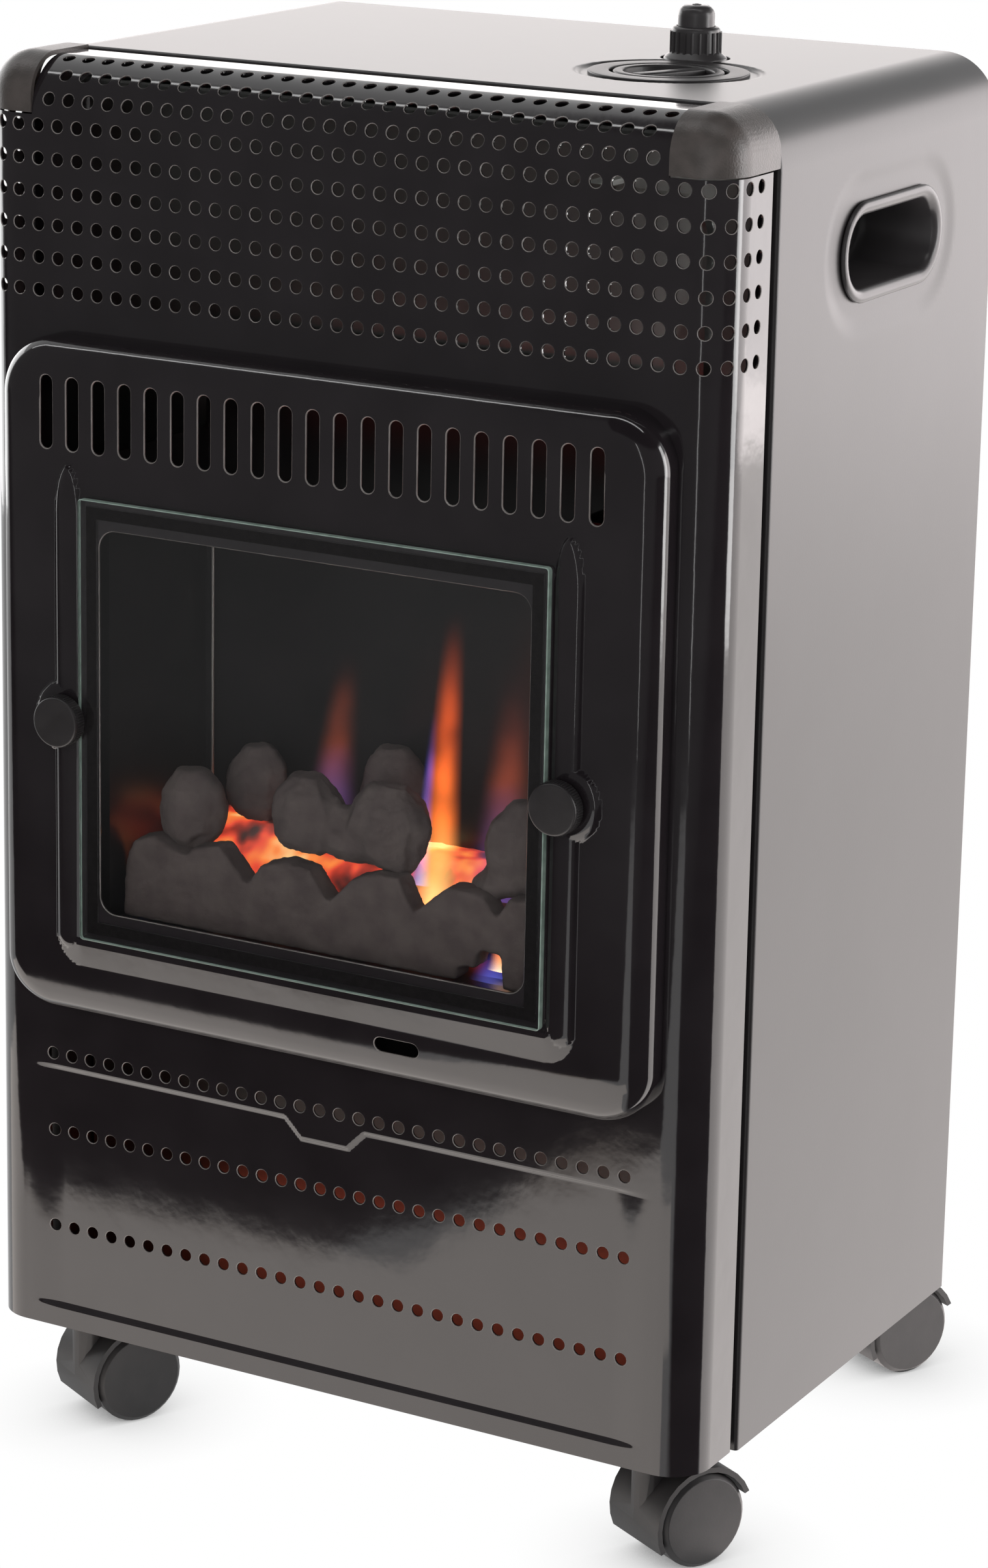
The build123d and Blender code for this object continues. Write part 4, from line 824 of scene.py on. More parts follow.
rim_lines = lines((0, CORE_R, 2.5), (CORE_R, ROLL_END, 1.6), (ROLL_END, DOOR_RUN, 4))
door_half = np.concatenate([lines((0, 116, 14), (116, 164, 1.3)), CORE_X + rim_lines])
door_up = [DOOR_Z - CORE_Z - rim_lines, DOOR_Z + CORE_Z + rim_lines,
           lines((275, 296, 1.1), (296, 384, 9), (384, 431, 1.3), (431, 509, 9), (509, 540, 1.6),
                 (540, 569, 8))]
door = blank("fire_surround_sheet", mirrored_lines(door_half), np.unique(np.concatenate(door_up)))
slots = [((c - 10) * SLOT_PITCH, SLOT_Z) for c in range(21)]
punched(door, slots, SLOT_WIDE, SLOT_HIGH, SLOT_WIDE / 2, 0.6, 20, enamel)
punched(door, [(0.0, WINDOW_Z)], WINDOW_WIDE, WINDOW_HIGH, WINDOW_R, 0.5, 32, enamel)
punched(door, [VENT_PLACE], VENT_WIDE, VENT_HIGH, VENT_HIGH / 2 - SLACK, 0.5, 20, enamel)
punched(door, [(-RIB_X, WINDOW_Z), (RIB_X, WINDOW_Z)], KNOB_HOLE, KNOB_HOLE, KNOB_HOLE / 2 - SLACK,
        0.3, 16, enamel)
# The holes' edges take the painted highlight as their rim
formed(door, door_form, "cabinet", "fire_surround", rim=rim_painted_highlight)
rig.slot(door, "front_black")

# %% [markdown]
# ## Casing
#
# A second sheet goes over the top and down both sides, with a return flange round its front and
# back edges. A shallow round dish is pressed in the top for the dial, and the sides are pressed
# in slightly and pierced for the handle cups.

# %% Casing
EDGE_R = 30.0
TOP_FLAT, TOP_ARC = CASING_HALF - EDGE_R, EDGE_R * math.pi / 2
SIDE_START = TOP_FLAT + TOP_ARC
CASING_RUN = SIDE_START + CASING_TOP - EDGE_R - CASING_FOOT
FRONT_HEM, BACK_HEM, FLANGE = CASING_FRONT + HEM_R, CASING_BACK - HEM_R, 7.0
DIAL_PLACE, IGNITER_PLACE = (103.8, 141.0), (90.0, 197.0)
DIAL_HOLE, IGNITER_HOLE = 77.0, 35.2
DISH_R, DISH_FLANK, DISH_DEEP = 47.0, 3.5, 1.5
HANDLE_PLACE = (178.5, 656.0)
HANDLE_RUN = SIDE_START + CASING_TOP - EDGE_R - HANDLE_PLACE[1]
HANDLE_HIGH, HANDLE_LONG = 38.6, 104.6
HOLLOW_HALF_HIGH, HOLLOW_HALF_LONG, HOLLOW_FLANK, HOLLOW_DEEP = 43.0, 78.0, 12.0, 0.8


def casing_form(points):
    s, w, t = points.T
    dish = np.hypot(s - DIAL_PLACE[0], t - DIAL_PLACE[1])
    w = w + DISH_DEEP * smooth_step((DISH_R - dish) / DISH_FLANK)
    hollow = rounded_box(np.abs(s) - HANDLE_RUN, t - HANDLE_PLACE[0], HOLLOW_HALF_HIGH,
                         HOLLOW_HALF_LONG, HOLLOW_HALF_HIGH)
    w = w + HOLLOW_DEEP * smooth_step(-hollow / HOLLOW_FLANK)
    for_front, for_back = FRONT_HEM - t, t - BACK_HEM
    inward, along = hemmed(np.maximum(np.maximum(for_front, for_back), 0), 0, w)
    y = np.where(for_front > 0, FRONT_HEM - along, np.where(for_back > 0, BACK_HEM + along, t))
    w = w + inward
    turn = np.clip((np.abs(s) - TOP_FLAT) / EDGE_R, 0, math.pi / 2)
    past = np.maximum(np.abs(s) - SIDE_START, 0)
    x = np.minimum(np.abs(s), TOP_FLAT) + (EDGE_R - w) * np.sin(turn)
    z = CASING_TOP - EDGE_R + (EDGE_R - w) * np.cos(turn) - past
    return np.stack([np.sign(s) * x, y, z], axis=1)


casing_half = lines((0, TOP_FLAT, 20), (TOP_FLAT, SIDE_START, 2.6),
                    (SIDE_START, HANDLE_RUN + 44, 3), (HANDLE_RUN + 44, CASING_RUN, 24))
casing_depth = lines((FRONT_HEM - HEM_R - HEM_RUN - FLANGE, FRONT_HEM - HEM_RUN, 4),
                     (FRONT_HEM - HEM_RUN, FRONT_HEM, 0.8), (FRONT_HEM, 92, 6), (92, 190, 1.6),
                     (190, 258, 3), (258, BACK_HEM, 20), (BACK_HEM, BACK_HEM + HEM_RUN, 0.8),
                     (BACK_HEM + HEM_RUN, BACK_HEM + HEM_R + HEM_RUN + FLANGE, 4))
casing = blank("casing_sheet", mirrored_lines(casing_half, lines((55, 153, 1.6))), casing_depth)
punched(casing, [DIAL_PLACE], DIAL_HOLE, DIAL_HOLE, DIAL_HOLE / 2 - SLACK, 0.3, 64, powder)
punched(casing, [IGNITER_PLACE], IGNITER_HOLE, IGNITER_HOLE, IGNITER_HOLE / 2 - SLACK, 0.3, 40,
        powder)
punched(casing, [(-HANDLE_RUN, HANDLE_PLACE[0]), (HANDLE_RUN, HANDLE_PLACE[0])], HANDLE_HIGH,
        HANDLE_LONG, HANDLE_HIGH / 2 - SLACK, 0.3, 32, powder)
formed(casing, casing_form, "cabinet", "cabinet_wrap")
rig.slot(casing, "casing_black")

# %% [markdown]
# ## Copies of drawn parts
#
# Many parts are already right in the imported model: brackets, tubes, trays. Their meshes are loose
# triangles, so those that show close by are copied: a copy is welded, its flat faces are kept
# sharp and its round ones are shaded smooth, and a narrow bevel breaks the edges, since no real
# edge is perfectly sharp. The others only get their finish.

# %% Copies
def dressed(node, finish, bevel=0.0, split=32.0):
    """A welded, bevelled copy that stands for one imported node."""
    source = frame["nodes"][node]
    mesh = source.data.copy()
    mesh.materials.clear()
    work = bmesh.new()
    work.from_mesh(mesh)
    bmesh.ops.remove_doubles(work, verts=work.verts, dist=2e-5)
    bmesh.ops.dissolve_limit(work, angle_limit=math.radians(1.0), verts=work.verts,
                             edges=work.edges)
    work.to_mesh(mesh)
    work.free()
    mesh.materials.append(finish)
    if "custom_normal" in mesh.attributes:
        mesh.attributes.remove(mesh.attributes["custom_normal"])
    mesh.set_sharp_from_angle(angle=math.radians(split))
    copy = added(node + "_finished", mesh)
    if bevel:
        edge = copy.modifiers.new("broken_edges", "BEVEL")
        edge.width = bevel / 1000
        edge.segments = 2
        edge.limit_method = "ANGLE"
        edge.angle_limit = math.radians(35)
        edge.harden_normals = True
    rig.ride(copy, source["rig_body"])
    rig.replaces(copy, node)
    return copy


CORNERS = ("front_left", "front_right", "rear_left", "rear_right")
plain = {"bulkhead": aluminised, "heat_deflector": aluminised, "base_tray": powder,
         "rear_cover": powder, "valve_bracket": zinc, "inlet_nozzle": brass, "gas_valve": brass,
         "gas_pipe": pipe_metal, "igniter_body": nylon, "knob_nuts": zinc, "burner": aluminised,
         "pilot_burner": zinc, "spark_electrode": ceramic, "thermocouple": zinc,
         "valve_stem": zinc, "glass_gasket": fibre, "caster_sockets": zinc, "firebox": heat_paint,
         **{"caster_stem_" + corner: zinc for corner in CORNERS}}
for node, finish in plain.items():
    mesh = frame["nodes"][node].data
    mesh.materials.clear()
    mesh.materials.append(finish)
dressed("corner_caps", grained, split=40)
for corner in CORNERS:
    dressed("caster_hood_" + corner, nylon, bevel=0.5, split=40)
    dressed("caster_wheels_" + corner, nylon, bevel=0.4, split=40)
print("repainted", len(plain), "nodes")

# %% [markdown]
# ## Turned and moulded rounds
#
# The dial, its bezel, the igniter and the knobs are solids of revolution. Their outlines are
# short lists of radius and height, spun round an axis in small steps, which is how they are
# turned or how their moulds are.

# %% Spinning
AXES = {"Z": Matrix.Identity(3), "-Y": Matrix.Rotation(math.pi / 2, 3, "X")}


def set_at(vertices, place, turn):
    """Turns vertices, given in millimetres, and sets them round a place in the drawing."""
    for vertex in vertices:
        vertex.co = placed(np.array(turn @ vertex.co) + np.array(place))[0]


def made_of(name, work, finish, split):
    """A new object of a bmesh with one finish, smooth but for edges past the split angle."""
    mesh = bpy.data.meshes.new(name)
    work.to_mesh(mesh)
    work.free()
    mesh.materials.append(finish)
    mesh.set_sharp_from_angle(angle=math.radians(split))
    return added(name, mesh)


def spun(name, outline, place, finish, body, *nodes, axis="Z", sides=96):
    """Spins (radius, height) pairs round an axis at place; closed where the radius is 0."""
    work = bmesh.new()
    rings = []
    for radius, height in outline:
        if radius == 0:
            rings.append([work.verts.new((0, 0, height))] * sides)
        else:
            rings.append([work.verts.new((radius * math.cos(a), radius * math.sin(a), height))
                          for a in np.linspace(0, 2 * math.pi, sides, endpoint=False)])
    for low, high in zip(rings, rings[1:] + ([] if outline[0][0] == 0 else rings[:1])):
        for i in range(sides):
            ring = [low[i], low[(i + 1) % sides], high[(i + 1) % sides], high[i]]
            ring = list(dict.fromkeys(ring))
            if len(ring) > 2:
                work.faces.new(ring)
    bmesh.ops.recalc_face_normals(work, faces=work.faces)
    set_at(work.verts, place, AXES[axis])
    piece = made_of(name, work, finish, 32.0)
    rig.ride(piece, body)
    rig.replaces(piece, *nodes)
    return piece


def rounded_profile(points, steps=5):
    """Rounds the corners of an outline; each point is (radius, height, rounding)."""
    made = []
    for i, (r, z, fillet) in enumerate(points):
        if not fillet:
            made.append((r, z))
            continue
        here = np.array((r, z), float)
        before = np.array(points[i - 1][:2], float) - here
        after = np.array(points[(i + 1) % len(points)][:2], float) - here
        start = here + before / np.linalg.norm(before) * fillet
        end = here + after / np.linalg.norm(after) * fillet
        for k in range(steps + 1):
            t = k / steps
            point = (1 - t) ** 2 * start + 2 * t * (1 - t) * here + t * t * end
            made.append((max(float(point[0]), 0.0), float(point[1])))
    return made


print("rounds can be spun")

# %% [markdown]
# The bezel is a flat ring on the pressed dish. The dial is a deep bowl with a rounded brim that
# turns inside it. The igniter's neck is fixed, and its domed button stands out of it; the small
# groove in the dome is part of the same outline.

# %% Dial and igniter
DIAL_SEAT = 734.5
DIAL_TOP = DIAL_SEAT + 1.8
BOWL_FLOOR = DIAL_TOP - 8.5
bezel = spun("dial_bezel_ring",
             rounded_profile([(29.5, DIAL_SEAT, 0), (40.0, DIAL_SEAT, 0), (40.0, DIAL_TOP, 0.9),
                              (29.5, DIAL_TOP, 0.9)]),
             (*DIAL_PLACE, 0), control, "cabinet", "dial_bezel")
dial = spun("dial_bowl",
            rounded_profile([(0, DIAL_TOP - 18, 0), (7, DIAL_TOP - 18, 0), (7, DIAL_TOP - 12, 0),
                             (27.6, DIAL_TOP - 12, 1.0), (27.6, DIAL_TOP, 1.4),
                             (22.6, DIAL_TOP, 1.2), (21.0, BOWL_FLOOR, 2.6), (0, BOWL_FLOOR, 0)]),
            (*DIAL_PLACE, 0), control, "dial", "dial_knob")
collar = spun("igniter_neck",
              rounded_profile([(9.6, CASING_TOP - 1, 0), (16.2, CASING_TOP - 0.6, 0),
                               (15.8, CASING_TOP + 0.4, 0.4), (12.4, CASING_TOP + 3.4, 0.3),
                               (12.2, CASING_TOP + 15.8, 2.2), (10.0, CASING_TOP + 16.0, 0.5),
                               (9.6, CASING_TOP + 6, 0)]),
              (*IGNITER_PLACE, 0), cup_plastic, "cabinet", "igniter_collar")
button = spun("igniter_dome",
              rounded_profile([(0, CASING_TOP + 3.7, 0), (9.3, CASING_TOP + 3.7, 0),
                               (9.3, CASING_TOP + 24.6, 3.4), (5.6, CASING_TOP + 26.5, 2.0),
                               (2.4, CASING_TOP + 26.6, 0.3), (2.2, CASING_TOP + 27, 0.3),
                               (1.2, CASING_TOP + 27, 0.2), (0.9, CASING_TOP + 26.3, 0),
                               (0, CASING_TOP + 26.3, 0)]),
              (*IGNITER_PLACE, 0), cup_plastic, "igniter_button", "igniter_button")
print("turned", bezel.name, dial.name, collar.name, button.name)

# %% [markdown]
# The grip is a straight bar across the bowl, moulded in one with the knob, so it rides on the
# dial. It is a box with all its edges rounded.

# %% Dial grip
GRIP_LONG, GRIP_WIDE, GRIP_ROUNDING, GRIP_TURN = 43.4, 7.5, 1.2, 68.0
GRIP_LOW = BOWL_FLOOR - 1
work = bmesh.new()
bmesh.ops.create_cube(work, size=1.0)
for vertex in work.verts:
    vertex.co = Vector((vertex.co.x * GRIP_LONG, vertex.co.y * GRIP_WIDE,
                        GRIP_LOW + (vertex.co.z + 0.5) * (DIAL_TOP - GRIP_LOW)))
bmesh.ops.bevel(work, geom=list(work.edges), offset=GRIP_ROUNDING, segments=4, profile=0.5,
                affect="EDGES")
set_at(work.verts, (*DIAL_PLACE, 0), Matrix.Rotation(math.radians(GRIP_TURN), 3, "Z"))
grip = made_of("dial_grip", work, control, 40)
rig.ride(grip, "dial")
print("grip", grip.name)

# %% [markdown]
# ## Handle cups
#
# Each cup is a moulded well with a rolled rim that laps over the casing's cut-out. Its outline is
# an obround at every depth, so the shape is one ladder of obrounds: from the outside of the floor
# up the outside of the wall, over the rolled rim, down the well and across its floor. The same
# ladder of rings makes the fret, the seam and the flames further on.

# %% Handle cups
def ladder(rings):
    """A closed solid through rings of equally many points, as its points and faces."""
    count, last = len(rings[0]), len(rings) - 1
    faces = [(a + i, a + (i + 1) % count, a + count + (i + 1) % count, a + count + i)
             for a in range(0, last * count, count) for i in range(count)]
    faces += [tuple(reversed(range(count))), tuple(range(last * count, (last + 1) * count))]
    return [point for ring in rings for point in ring], faces


def drawn_mesh(name, rings, finish):
    """A mesh of a ladder of rings in drawing millimetres."""
    points, faces = ladder(rings)
    mesh = bpy.data.meshes.new(name)
    mesh.from_pydata(placed(points).tolist(), [], faces)
    mesh.materials.append(finish)
    return mesh


def obround(length, height, turns=20):
    """Points round an obround in depth and height, as an array."""
    radius = height / 2
    half = np.linspace(-math.pi / 2, math.pi / 2, turns)
    front = np.stack([length / 2 - radius + radius * np.cos(half), radius * np.sin(half)], axis=1)
    return np.concatenate([front, -front])


# Each rung is how far it stands out of the casing, its length and its height
CUP_OUTSIDE = [(-41.9, 70.0, 8.0), (-41.9, 99.0, 33.4), (-39.5, 102.6, 36.8),
               (-1.6, 103.9, 37.9), (-1.6, 108.0, 42.0)]
CUP_RIM = [(-0.2, 115.6, 49.6), (0.7, 115.9, 49.9), (1.5, 115.0, 49.0), (1.95, 113.2, 47.2),
           (1.98, 110.5, 44.5), (1.7, 107.0, 41.0), (0.6, 103.6, 37.6)]
CUP_INSIDE = [(-1.6, 101.6, 35.6), (-36.0, 99.6, 33.6), (-39.0, 97.6, 31.6), (-40.0, 93.0, 27.0),
              (-40.0, 70.0, 8.0)]
cups = []
for side, hand in ((-1, "left"), (1, "right")):
    rings = [[(side * (CASING_HALF + out), HANDLE_PLACE[0] + y, HANDLE_PLACE[1] + z)
              for y, z in obround(length, height)]
             for out, length, height in CUP_OUTSIDE + CUP_RIM + CUP_INSIDE]
    mesh = drawn_mesh("handle_cup", rings, cup_plastic)
    work = bmesh.new()
    work.from_mesh(mesh)
    bmesh.ops.recalc_face_normals(work, faces=work.faces)
    work.to_mesh(mesh)
    work.free()
    mesh.set_sharp_from_angle(angle=math.radians(50))
    cups.append(added("handle_cup_" + hand, mesh))
    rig.ride(cups[-1], "cabinet")
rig.replaces(cups[1], "handle_cups")
print("handle cups", [len(cup.data.polygons) for cup in cups])

# %% [markdown]
# ## Glass and its knobs
#
# The pane is 4 mm float glass. Its upright corners are rounded and its rims ground, as a glazier
# does to take off the sharp edge, and the ground faces take the green edge finish. It casts no
# shadow, so the light of the fire and of the lamps passes through it as through real glass.

# %% Glass pane
CORNER_ROUND, RIM_GROUND = 0.002, 0.0004
low, high = drawn("glass_pane")
work = bmesh.new()
bmesh.ops.create_cube(work, size=1.0)
for vertex in work.verts:
    share = np.array(vertex.co) + 0.5
    vertex.co = placed(low + share * (high - low))[0]
upright = [e for e in work.edges if abs(e.verts[0].co.y - e.verts[1].co.y) > 0.003]
bmesh.ops.bevel(work, geom=upright, offset=CORNER_ROUND, segments=4, profile=0.5, affect="EDGES")
work.normal_update()
rims = [e for e in work.edges if any(abs(f.normal.y) > 0.9 for f in e.link_faces)
        and any(abs(f.normal.y) < 0.1 for f in e.link_faces)]
bmesh.ops.bevel(work, geom=rims, offset=RIM_GROUND, segments=1, profile=0.5, affect="EDGES")
work.normal_update()
for face in work.faces:
    face.material_index = int(abs(face.normal.y) <= 0.9)
mesh = bpy.data.meshes.new("glass_pane_ground")
work.to_mesh(mesh)
work.free()
mesh.materials.append(glass)
mesh.materials.append(glass_edge)
pane = added("glass_pane_ground", mesh)
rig.ride(pane, "cabinet")
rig.replaces(pane, "glass_pane")
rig.slot(pane, "glass")
pane.visible_shadow = False
print("pane", np.round(high - low, 2))

# %% [markdown]
# The two knobs that hold the pane are turned black plastic with a finely knurled rim, and the
# igniter's neck has upright ribs. Both are small rods set round a circle, so one Geometry Nodes
# tree makes them, and each ring is then turned to its own axis.

# %% Knobs
def ridge_tree():
    tree, given = new_tree("ring_of_ridges", (
        ("Blank", "Geometry", "INPUT"), ("Count", "Int", "INPUT"), ("Radius", "Float", "INPUT"),
        ("Ridge", "Float", "INPUT"), ("Length", "Float", "INPUT"),
        ("Finish", "Material", "INPUT"), ("Ridged", "Geometry", "OUTPUT")))
    circle = add_node(tree, "GeometryNodeMeshCircle",
                      {"Vertices": given["Count"], "Radius": given["Radius"]})
    rod = add_node(tree, "GeometryNodeMeshCylinder",
                   {"Vertices": 6, "Radius": given["Ridge"], "Depth": given["Length"]})
    set_round = add_node(tree, "GeometryNodeInstanceOnPoints",
                         {"Points": circle, "Instance": rod})
    whole = add_node(tree, "GeometryNodeRealizeInstances", {"Geometry": set_round})
    painted = add_node(tree, "GeometryNodeSetMaterial",
                       {"Geometry": whole, "Material": given["Finish"]})
    add_node(tree, "NodeGroupOutput", {"Ridged": painted})
    return tree


RIDGES = ridge_tree()


def ring_of_ridges(name, place, axis, count, radius, ridge, length, finish, body):
    """Applies the ridge tree and sets the result at its place."""
    holder = added(name, bpy.data.meshes.new(name))
    applied(holder, RIDGES, Count=count, Radius=float(radius), Ridge=float(ridge),
            Length=float(length), Finish=finish)
    set_at(holder.data.vertices, place, AXES[axis])
    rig.ride(holder, body)


# Heights run towards the viewer, from the seat on the glass
KNOB_SEAT, KNOB_R, KNOB_HIGH = 26.7, 12.9, 8.3
STUD_R, STUD_LONG = 3.0, 9.5
for side, body in ((-1, "glass_knob_left"), (1, "glass_knob_right")):
    spun(body + "_turned",
         rounded_profile([(0, KNOB_SEAT - STUD_LONG, 0), (STUD_R, KNOB_SEAT - STUD_LONG, 0),
                          (STUD_R, KNOB_SEAT, 0), (KNOB_R, KNOB_SEAT, 0.5),
                          (KNOB_R, KNOB_SEAT + KNOB_HIGH, 1.3), (0, KNOB_SEAT + KNOB_HIGH, 0)]),
         (side * RIB_X, 0, WINDOW_Z), control, body, body, axis="-Y", sides=72)
    ring_of_ridges(body + "_knurl", (side * RIB_X, -(KNOB_SEAT + 3.7), WINDOW_Z), "-Y", 60, KNOB_R,
                   0.5, 5.6, control, body)
ring_of_ridges("igniter_ribs", (*IGNITER_PLACE, CASING_TOP + 7.9), "Z", 20, 12.3, 1.0, 11.0,
               cup_plastic, "cabinet")
print("knobs and ribs done")

# %% [markdown]
# ## Coal bed
#
# The fret, the coals and the block behind them are moulded ceramic fibre. Boolean-clean solids
# look like toys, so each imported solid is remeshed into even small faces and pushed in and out
# along its normals by two sizes of noise: lumps a couple of centimetres across and grit of 3 mm.
# Two coals have boulders added, and the fret is drawn again with its wavy top.

# %% Coals
LUMP_SCALE, GRIT_SCALE = 55, 260        # noise cells in a metre


def joined_in(mesh, solids):
    """Adds closed solids (points, faces) in drawing millimetres to a mesh."""
    work = bmesh.new()
    work.from_mesh(mesh)
    for points, faces in solids:
        corners = [work.verts.new(point) for point in placed(points)]
        for face in faces:
            work.faces.new([corners[i] for i in face])
    work.to_mesh(mesh)
    work.free()


def boulder(x, y, z, half_x, half_y, half_z, lean):
    """A ball stretched to three half-widths and leaned about the depth axis."""
    ball = bmesh.new()
    bmesh.ops.create_icosphere(ball, subdivisions=3, radius=1.0)
    size, turn = Vector((half_x, half_y, half_z)), Matrix.Rotation(math.radians(lean), 3, "Y")
    points = [tuple(turn @ (vertex.co * size) + Vector((x, y, z))) for vertex in ball.verts]
    faces = [[vertex.index for vertex in face.verts] for face in ball.faces]
    ball.free()
    return points, faces


def moulded(node, finish, voxel, lumps, grit, seed, inset=0.0, solids=(), alone=False):
    """A rough, soft-edged copy of a packed refractory part, with solids moulded on."""
    piece = dressed(node, finish)
    if alone:
        piece.data.clear_geometry()
    joined_in(piece.data, solids)
    remesh = piece.modifiers.new("even", "REMESH")
    remesh.mode = "VOXEL"
    remesh.voxel_size = voxel / 1000
    soften = piece.modifiers.new("soften", "SMOOTH")
    soften.factor = 0.6
    soften.iterations = 6
    mesh = baked(piece)
    piece.data = mesh
    points, normals = arrays(mesh.vertices, "co"), arrays(mesh.vertex_normals, "vector")
    push = []
    for point in points:
        p = Vector(point)
        coarse = noise.noise(p * LUMP_SCALE + Vector((seed, 0, 0)))
        fine = noise.fractal(p * GRIT_SCALE + Vector((0, seed, 0)), 0.9, 2.0, 3)
        push.append(lumps * coarse + grit * fine - inset)
    moved = points + normals * np.array(push)[:, None] / 1000
    mesh.vertices.foreach_set("co", moved.ravel().astype(np.float32))
    mesh.update()
    mesh.shade_smooth()


# The fret's outline, across and up, from its lower left corner round its wavy top
FRET = [(-129, 297), (-128.6, 324), (-126.6, 331), (-122.6, 339), (-110.7, 343), (-100.8, 338),
        (-91, 335), (-88, 340), (-71.5, 344), (-63.7, 336), (-55.3, 326), (-46.3, 338),
        (-32, 342), (-18.6, 340), (-6.6, 325), (8, 340), (21, 344.5), (34, 344.8), (42.7, 328),
        (62, 344.5), (69, 344.8), (82, 344), (89.5, 333), (96.5, 344.5), (114, 344.8),
        (127, 340), (129, 297), (94, 297), (93, 314), (80, 315), (79, 305.5), (69, 304.5),
        (68, 297)]
FRET_FACE, FRET_BACK = 8.3, 23.7
# It stands from 8 to 24 mm behind the panel's face
fret = ladder([[(x, y, z) for x, z in FRET] for y in (FRET_FACE, FRET_BACK)])
moulded("coal_fret", coal_fibre, 1.3, 0.3, 0.45, 3.0, inset=0.2, solids=[fret], alone=True)
moulded("fuel_bed", glow_fibre, 2.6, 0.8, 0.5, 5.0, inset=0.5)
BOULDERS = {3: [boulder(-4, 25, 355, 30, 13, 11.5, 8)],
            5: [boulder(90, 29, 347, 26, 14, 9, -12), boulder(104, 30, 364, 17, 15, 21, 14)]}
for number in range(1, 6):
    moulded(f"coal_{number}", coal_fibre, 1.5, 2.4, 0.6, 7.0 + number, inset=0.4,
            solids=BOULDERS.get(number, ()))
print("coal bed done")

# %% [markdown]
# The chamber's back is two sheets folded together, and the fold's bare bead catches the light as a
# thin upright line behind the coals. It is one small profile drawn up the wall.

# %% Chamber seam
BEAD = [(-0.9, 0.0), (-0.7, -0.5), (-0.3, -0.8), (0.3, -0.8), (0.7, -0.5), (0.9, 0.0)]
SEAM_X, SEAM_Y, SEAM_SPAN = -125.0, 86.9, (300.0, 590.0)
rings = [[(SEAM_X + x, SEAM_Y + y, z) for x, y in BEAD] for z in SEAM_SPAN]
seam = added("chamber_seam", drawn_mesh("chamber_seam", rings, bright_fold))
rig.ride(seam, "cabinet")
print("seam from", SEAM_SPAN[0], "to", SEAM_SPAN[1], "mm")

# %% [markdown]
# ## Flames
#
# A flame is light, not a surface. A few thin upright tongues add light to what is behind them and
# hide nothing; the glow dies out towards their sides and tips, so no edge shows. The middle one
# burns yellow at its foot, then orange, then dull red. The faint ones go from violet to red, and
# short blue ones stand where the gas leaves its ports.

# %% Flame finish
def flame_material(name, stops, strength):
    """Light added to what is behind; U runs across the tongue and V from foot to tip."""
    material, tree, where = new_material(name)
    spot = add_node(tree, "ShaderNodeUVMap")
    parts = add_node(tree, "ShaderNodeSeparateXYZ", {"Vector": spot})
    across, rise = parts.outputs["X"], parts.outputs["Y"]
    colour = add_node(tree, "ShaderNodeValToRGB", {"Fac": rise})
    set_stops(colour, *stops)
    wisp = add_node(tree, "ShaderNodeTexNoise",
                    {"Vector": where, "Scale": per_metre(24), "Detail": 1.0})
    off_middle = add_node(tree, "ShaderNodeMath", (across, 0.5), operation="SUBTRACT")
    off_middle = add_node(tree, "ShaderNodeMath", (off_middle,), operation="ABSOLUTE")
    narrow = add_node(tree, "ShaderNodeMath", (rise, 1.2, 1.0), operation="MULTIPLY_ADD")
    off_middle = add_node(tree, "ShaderNodeMath", (off_middle, narrow), operation="MULTIPLY")
    core = add_node(tree, "ShaderNodeMapRange",
                    {"Value": off_middle, "From Min": 0.5, "From Max": 0.0},
                    interpolation_type="SMOOTHSTEP")
    fade = add_node(tree, "ShaderNodeMapRange", {"Value": rise, "From Min": 1.0, "From Max": 0.45},
                    interpolation_type="SMOOTHSTEP")
    amount = core
    for factor in (fade, wisp, strength):
        amount = add_node(tree, "ShaderNodeMath", (amount, factor), operation="MULTIPLY")
    glow = add_node(tree, "ShaderNodeEmission", {"Color": colour, "Strength": amount})
    clear = add_node(tree, "ShaderNodeBsdfTransparent")
    both = add_node(tree, "ShaderNodeAddShader", (clear, glow))
    add_node(tree, "ShaderNodeOutputMaterial", {"Surface": both})
    return material


yellow_flame = flame_material("burning_gas_orange",
                              ((0, "#FFD890"), (0.14, "#FFB45A"), (0.32, "#FF7A30"),
                               (0.6, "#E85A20"), (1, "#7A2A18")), 1.5)
faint_flame = flame_material("burning_gas_faint",
                             ((0, "#8A6AD8"), (0.25, "#A06AB0"), (0.5, "#C85A3A"),
                              (1, "#5A2418")), 0.36)
blue_flame = flame_material("burning_gas_blue",
                            ((0, "#8AA0FF"), (0.5, "#6A6AF0"), (1, "#6A50C8")), 0.6)
print("flame finishes", yellow_flame.name, faint_flame.name, blue_flame.name)


# %% Flames
def flame(name, x, y, foot, tip, width, lean, finish, rows=18, columns=12):
    """A thin closed tongue, a little narrower towards its tip and leaning to one side."""
    turns = [2 * math.pi * k / columns for k in range(columns)]
    rises = [i / rows for i in range(rows + 1)]
    rings = [[(x + lean * rise + width * (1 - 0.25 * rise) / 2 * math.cos(turn),
               y + width * (1 - 0.25 * rise) / 8 * math.sin(turn), foot + (tip - foot) * rise)
              for turn in turns] for rise in rises]
    spots = [(0.5 + 0.5 * math.cos(turn), rise) for rise in rises for turn in turns]
    mesh = drawn_mesh(name, rings, finish)
    layer = mesh.uv_layers.new(name="spot")
    for loop in mesh.loops:
        layer.data[loop.index].uv = spots[loop.vertex_index]
    mesh.shade_smooth()
    piece = added(name, mesh)
    piece.visible_shadow = False
    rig.ride(piece, "cabinet")


